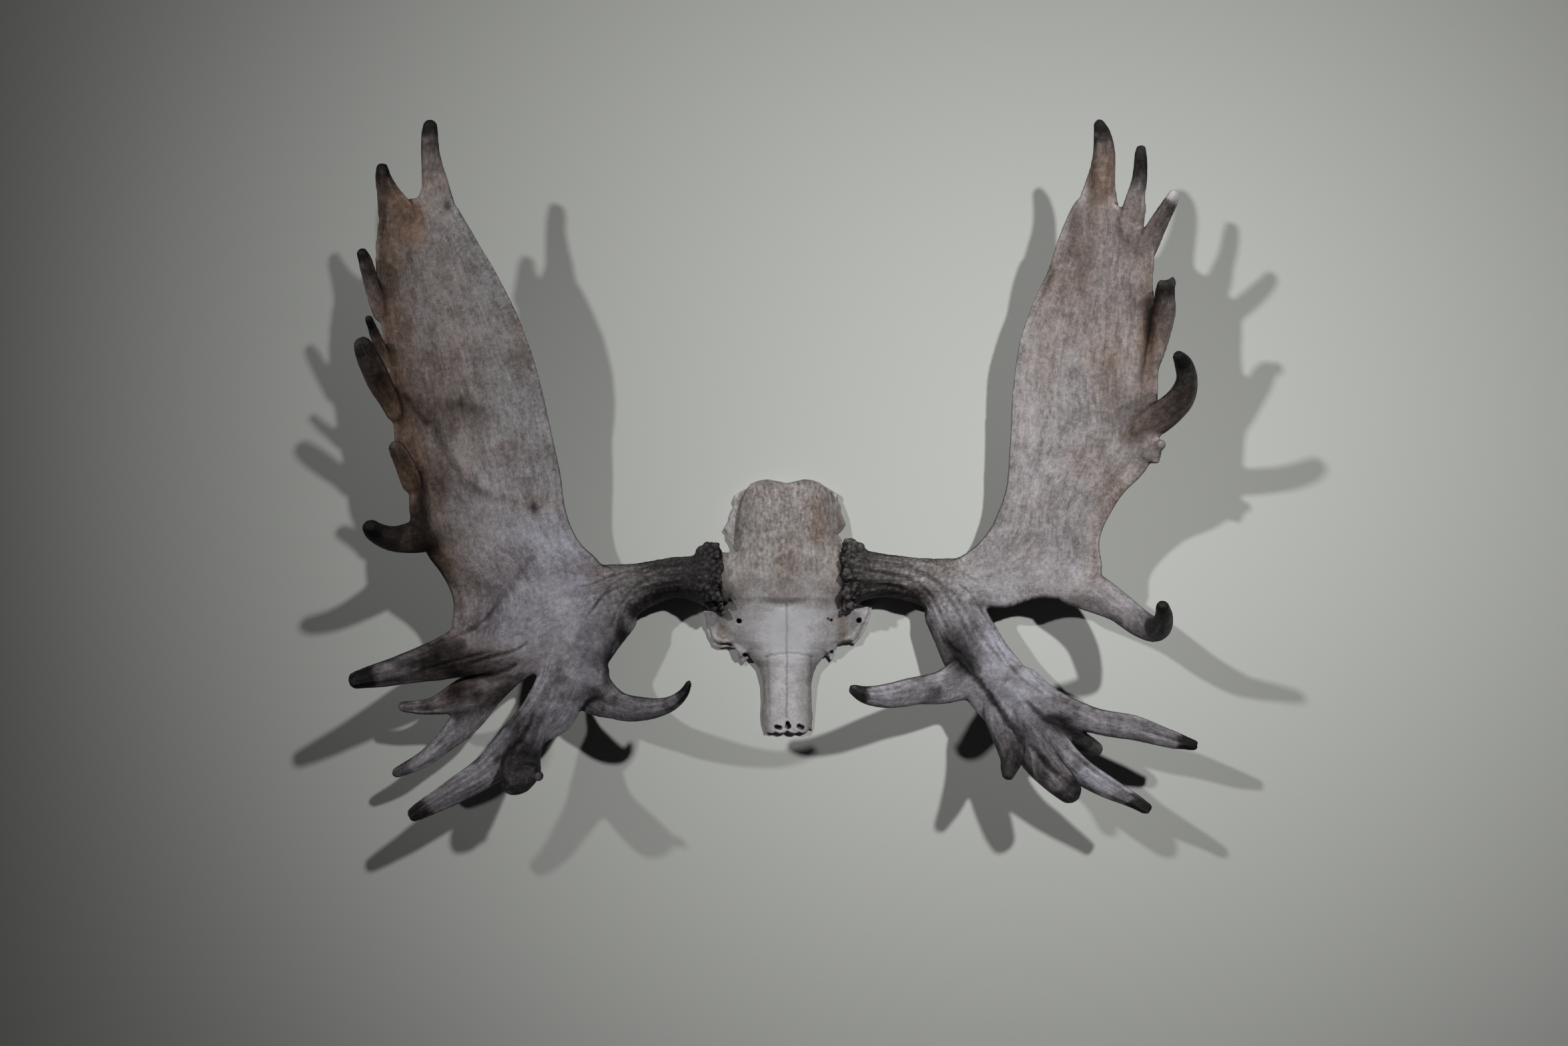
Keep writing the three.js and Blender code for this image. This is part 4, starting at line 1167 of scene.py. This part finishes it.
def antler_material():
    shader = Shader("weathered_antler")
    place = shader.position()
    grain_place = shader.attribute("along_grain", "Vector")
    hold = shader.attribute("hold")
    fine_grain = shader.times(shader.noise(grain_place, (0.42, 0.42, 0.085), 4, 0.65), hold)
    long_grain = shader.times(shader.noise(grain_place, (0.15, 0.15, 0.03), 3, 0.6), hold)
    blotches = shader.noise(place, 34, 4, 0.6)
    mottle = shader.noise(place, 170, 4, 0.65)
    speckle = shader.noise(place, 620, 2, 0.6)
    streak = shader.math("SUBTRACT", shader.attribute("streak"), 0.5)

    # dark holds painted shade on the palm rims, steep faces, furrows and shaded patches besides the bone's
    # own dark parts, and hollow darkens the grooves as painted shade.
    tone = shader.total(
        shader.attribute("dark"), (fine_grain, 0.46), (long_grain, 0.42), (blotches, 0.48),
        (mottle, 0.56), (speckle, 0.30), (shader.attribute("hollow"), 0.20),
        (shader.attribute("speckle"), -0.12), (streak, -0.16))
    tone = shader.spread(tone, -0.2, 1.1)
    colour = shader.ramp(
        tone, (0, (0.56, 0.55, 0.58)), (0.2, (0.36, 0.345, 0.36)), (0.36, (0.205, 0.191, 0.197)),
        (0.55, (0.095, 0.085, 0.087)), (0.75, (0.032, 0.028, 0.029)), (1, (0.006, 0.005, 0.005)))
    colour = shader.mix(shader.attribute("warm"), colour, (1.14, 0.81, 0.59))
    colour = shader.mix(shader.attribute("cool"), colour, (0.95, 0.975, 1.09))
    shader.set_surface("Base Color", colour)
    shader.set_surface("Roughness", shader.total(shader.spread(tone, 0, 1, 0.66, 0.56), (mottle, 0.3)))
    shader.set_surface("Specular IOR Level", 0.19)
    shader.bump(shader.total(fine_grain, (mottle, 0.6), (speckle, 0.25)), 0.55, 0.0014)
    return shader.material


def skull_material():
    shader = Shader("weathered_skull_bone")
    place = shader.position()
    blotches = shader.noise(place, 55, 4, 0.6)
    mottle = shader.noise(place, 260, 4, 0.65)
    long_pits = shader.noise(place, (230, 120, 170), 3, 0.55)
    pits = shader.times(long_pits, shader.attribute("rough_bone"))
    brown = shader.attribute("brown")
    grey = shader.attribute("grey")

    # hollow darkens the grooves as painted shade, and dark also holds painted shade in the crescent below
    # the crest and inside the small holes.
    tone = shader.total(
        shader.attribute("shade"), (brown, 0.34), (blotches, 0.70), (mottle, 0.62), (pits, 0.8),
        (shader.attribute("hollow"), 0.2), (grey, 0.14), (shader.attribute("pale"), -0.37))
    tone = shader.spread(tone, -0.3, 0.8)
    colour = shader.ramp(
        tone, (0, (0.66, 0.65, 0.69)), (0.25, (0.47, 0.452, 0.472)), (0.5, (0.30, 0.279, 0.282)),
        (0.75, (0.17, 0.145, 0.138)), (1, (0.07, 0.056, 0.052)))
    colour = shader.mix(shader.times(grey, 0.6), colour, (0.84, 0.88, 0.87))
    colour = shader.mix(shader.times(brown, 0.8), colour, (1, 0.84, 0.70))
    colour = shader.mix(shader.attribute("dark"), colour, (0.022, 0.018, 0.02), "MIX")
    shader.set_surface("Base Color", colour)
    shader.set_surface("Roughness", shader.spread(mottle, -0.3, 0.3, 0.6, 0.78))
    shader.set_surface("Specular IOR Level", 0.35)
    shader.bump(shader.total(shader.times(pits, 1.3), (mottle, 0.5)), 0.5, 0.0012)
    return shader.material


def floor_material():
    shader = Shader("pale_floor")
    shader.set_surface("Base Color", (0.56, 0.575, 0.555, 1))
    shader.set_surface("Roughness", 0.9)
    shader.set_surface("Specular IOR Level", 0.1)
    return shader.material


# ---- the three pieces

antler_bone = antler_material()
antler_left = antler(
    "antler_left", WEST_BRANCHES, WEST_PALM, True, WEST_BURR, WEST_KNOBS, WEST_STAINS_AND_SHADE, WEST_FURROWS,
    11, antler_bone)
antler_right = antler(
    "antler_right", EAST_BRANCHES, EAST_PALM, False, EAST_BURR, EAST_KNOBS, EAST_STAINS_AND_SHADE, EAST_FURROWS,
    211, antler_bone)
skull_plate = skull("skull_plate", skull_material())

for piece in (antler_left, antler_right, skull_plate):
    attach(piece, "root")
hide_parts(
    "left_beam", "left_main_palm", "left_brow_palm", "left_brow_fork", "left_inner_tine")
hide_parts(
    "right_beam", "right_main_palm", "right_lower_tine", "right_brow_palm",
    "right_inner_tine")
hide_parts("skull")


# ---- stage, light and camera

# Each lamp's place and aim in metres, its power in watts and its cone in degrees.
LAMPS = {
    "west_lamp": ((-7.337, 4.56, 7.884), (0.418, 0.355, 0), 4.1, 13.7),
    "east_lamp": ((4.358, 4.815, 8.782), (0.268, 0.021, 0), 4.74, 14.4),
}
CAMERA_PLACE = (-0.0035, 0.1005, 2.598)


def floor():
    half = 4
    mesh = bpy.data.meshes.new("floor")
    corners = [(-half, -half, 0), (half, -half, 0), (half, half, 0), (-half, half, 0)]
    mesh.from_pydata(corners, [], [(0, 1, 2, 3)])
    mesh.materials.append(floor_material())
    ground = bpy.data.objects.new("floor", mesh)
    bpy.context.scene.collection.objects.link(ground)


def lamp(name, place, aim, power, spread_degrees):
    light = bpy.data.lights.new(name, "AREA")
    light.shape = "DISK"
    light.size = 0.45
    light.energy = power
    light.color = (1, 0.995, 0.97)
    light.spread = math.radians(spread_degrees)
    holder = bpy.data.objects.new(name, light)
    holder.location = place
    holder.rotation_euler = (Vector(aim) - Vector(place)).to_track_quat("-Z", "Y").to_euler()
    bpy.context.scene.collection.objects.link(holder)


def soft_sky(colour, strength):
    world = bpy.data.worlds.new("soft_sky")
    world.use_nodes = True
    sky = world.node_tree.nodes["Background"]
    sky.inputs["Color"].default_value = (*colour, 1)
    sky.inputs["Strength"].default_value = strength
    bpy.context.scene.world = world


def camera():
    view = bpy.data.cameras.new("camera")
    view.lens = 45.96
    view.sensor_width = 36
    view.sensor_fit = "HORIZONTAL"
    holder = bpy.data.objects.new("camera", view)
    holder.location = CAMERA_PLACE
    bpy.context.scene.collection.objects.link(holder)
    bpy.context.scene.camera = holder


floor()
for lamp_name, settings in LAMPS.items():
    lamp(lamp_name, *settings)
soft_sky((0.95, 0.97, 1), 0.014)
camera()
bpy.context.scene.view_settings.view_transform = "Standard"
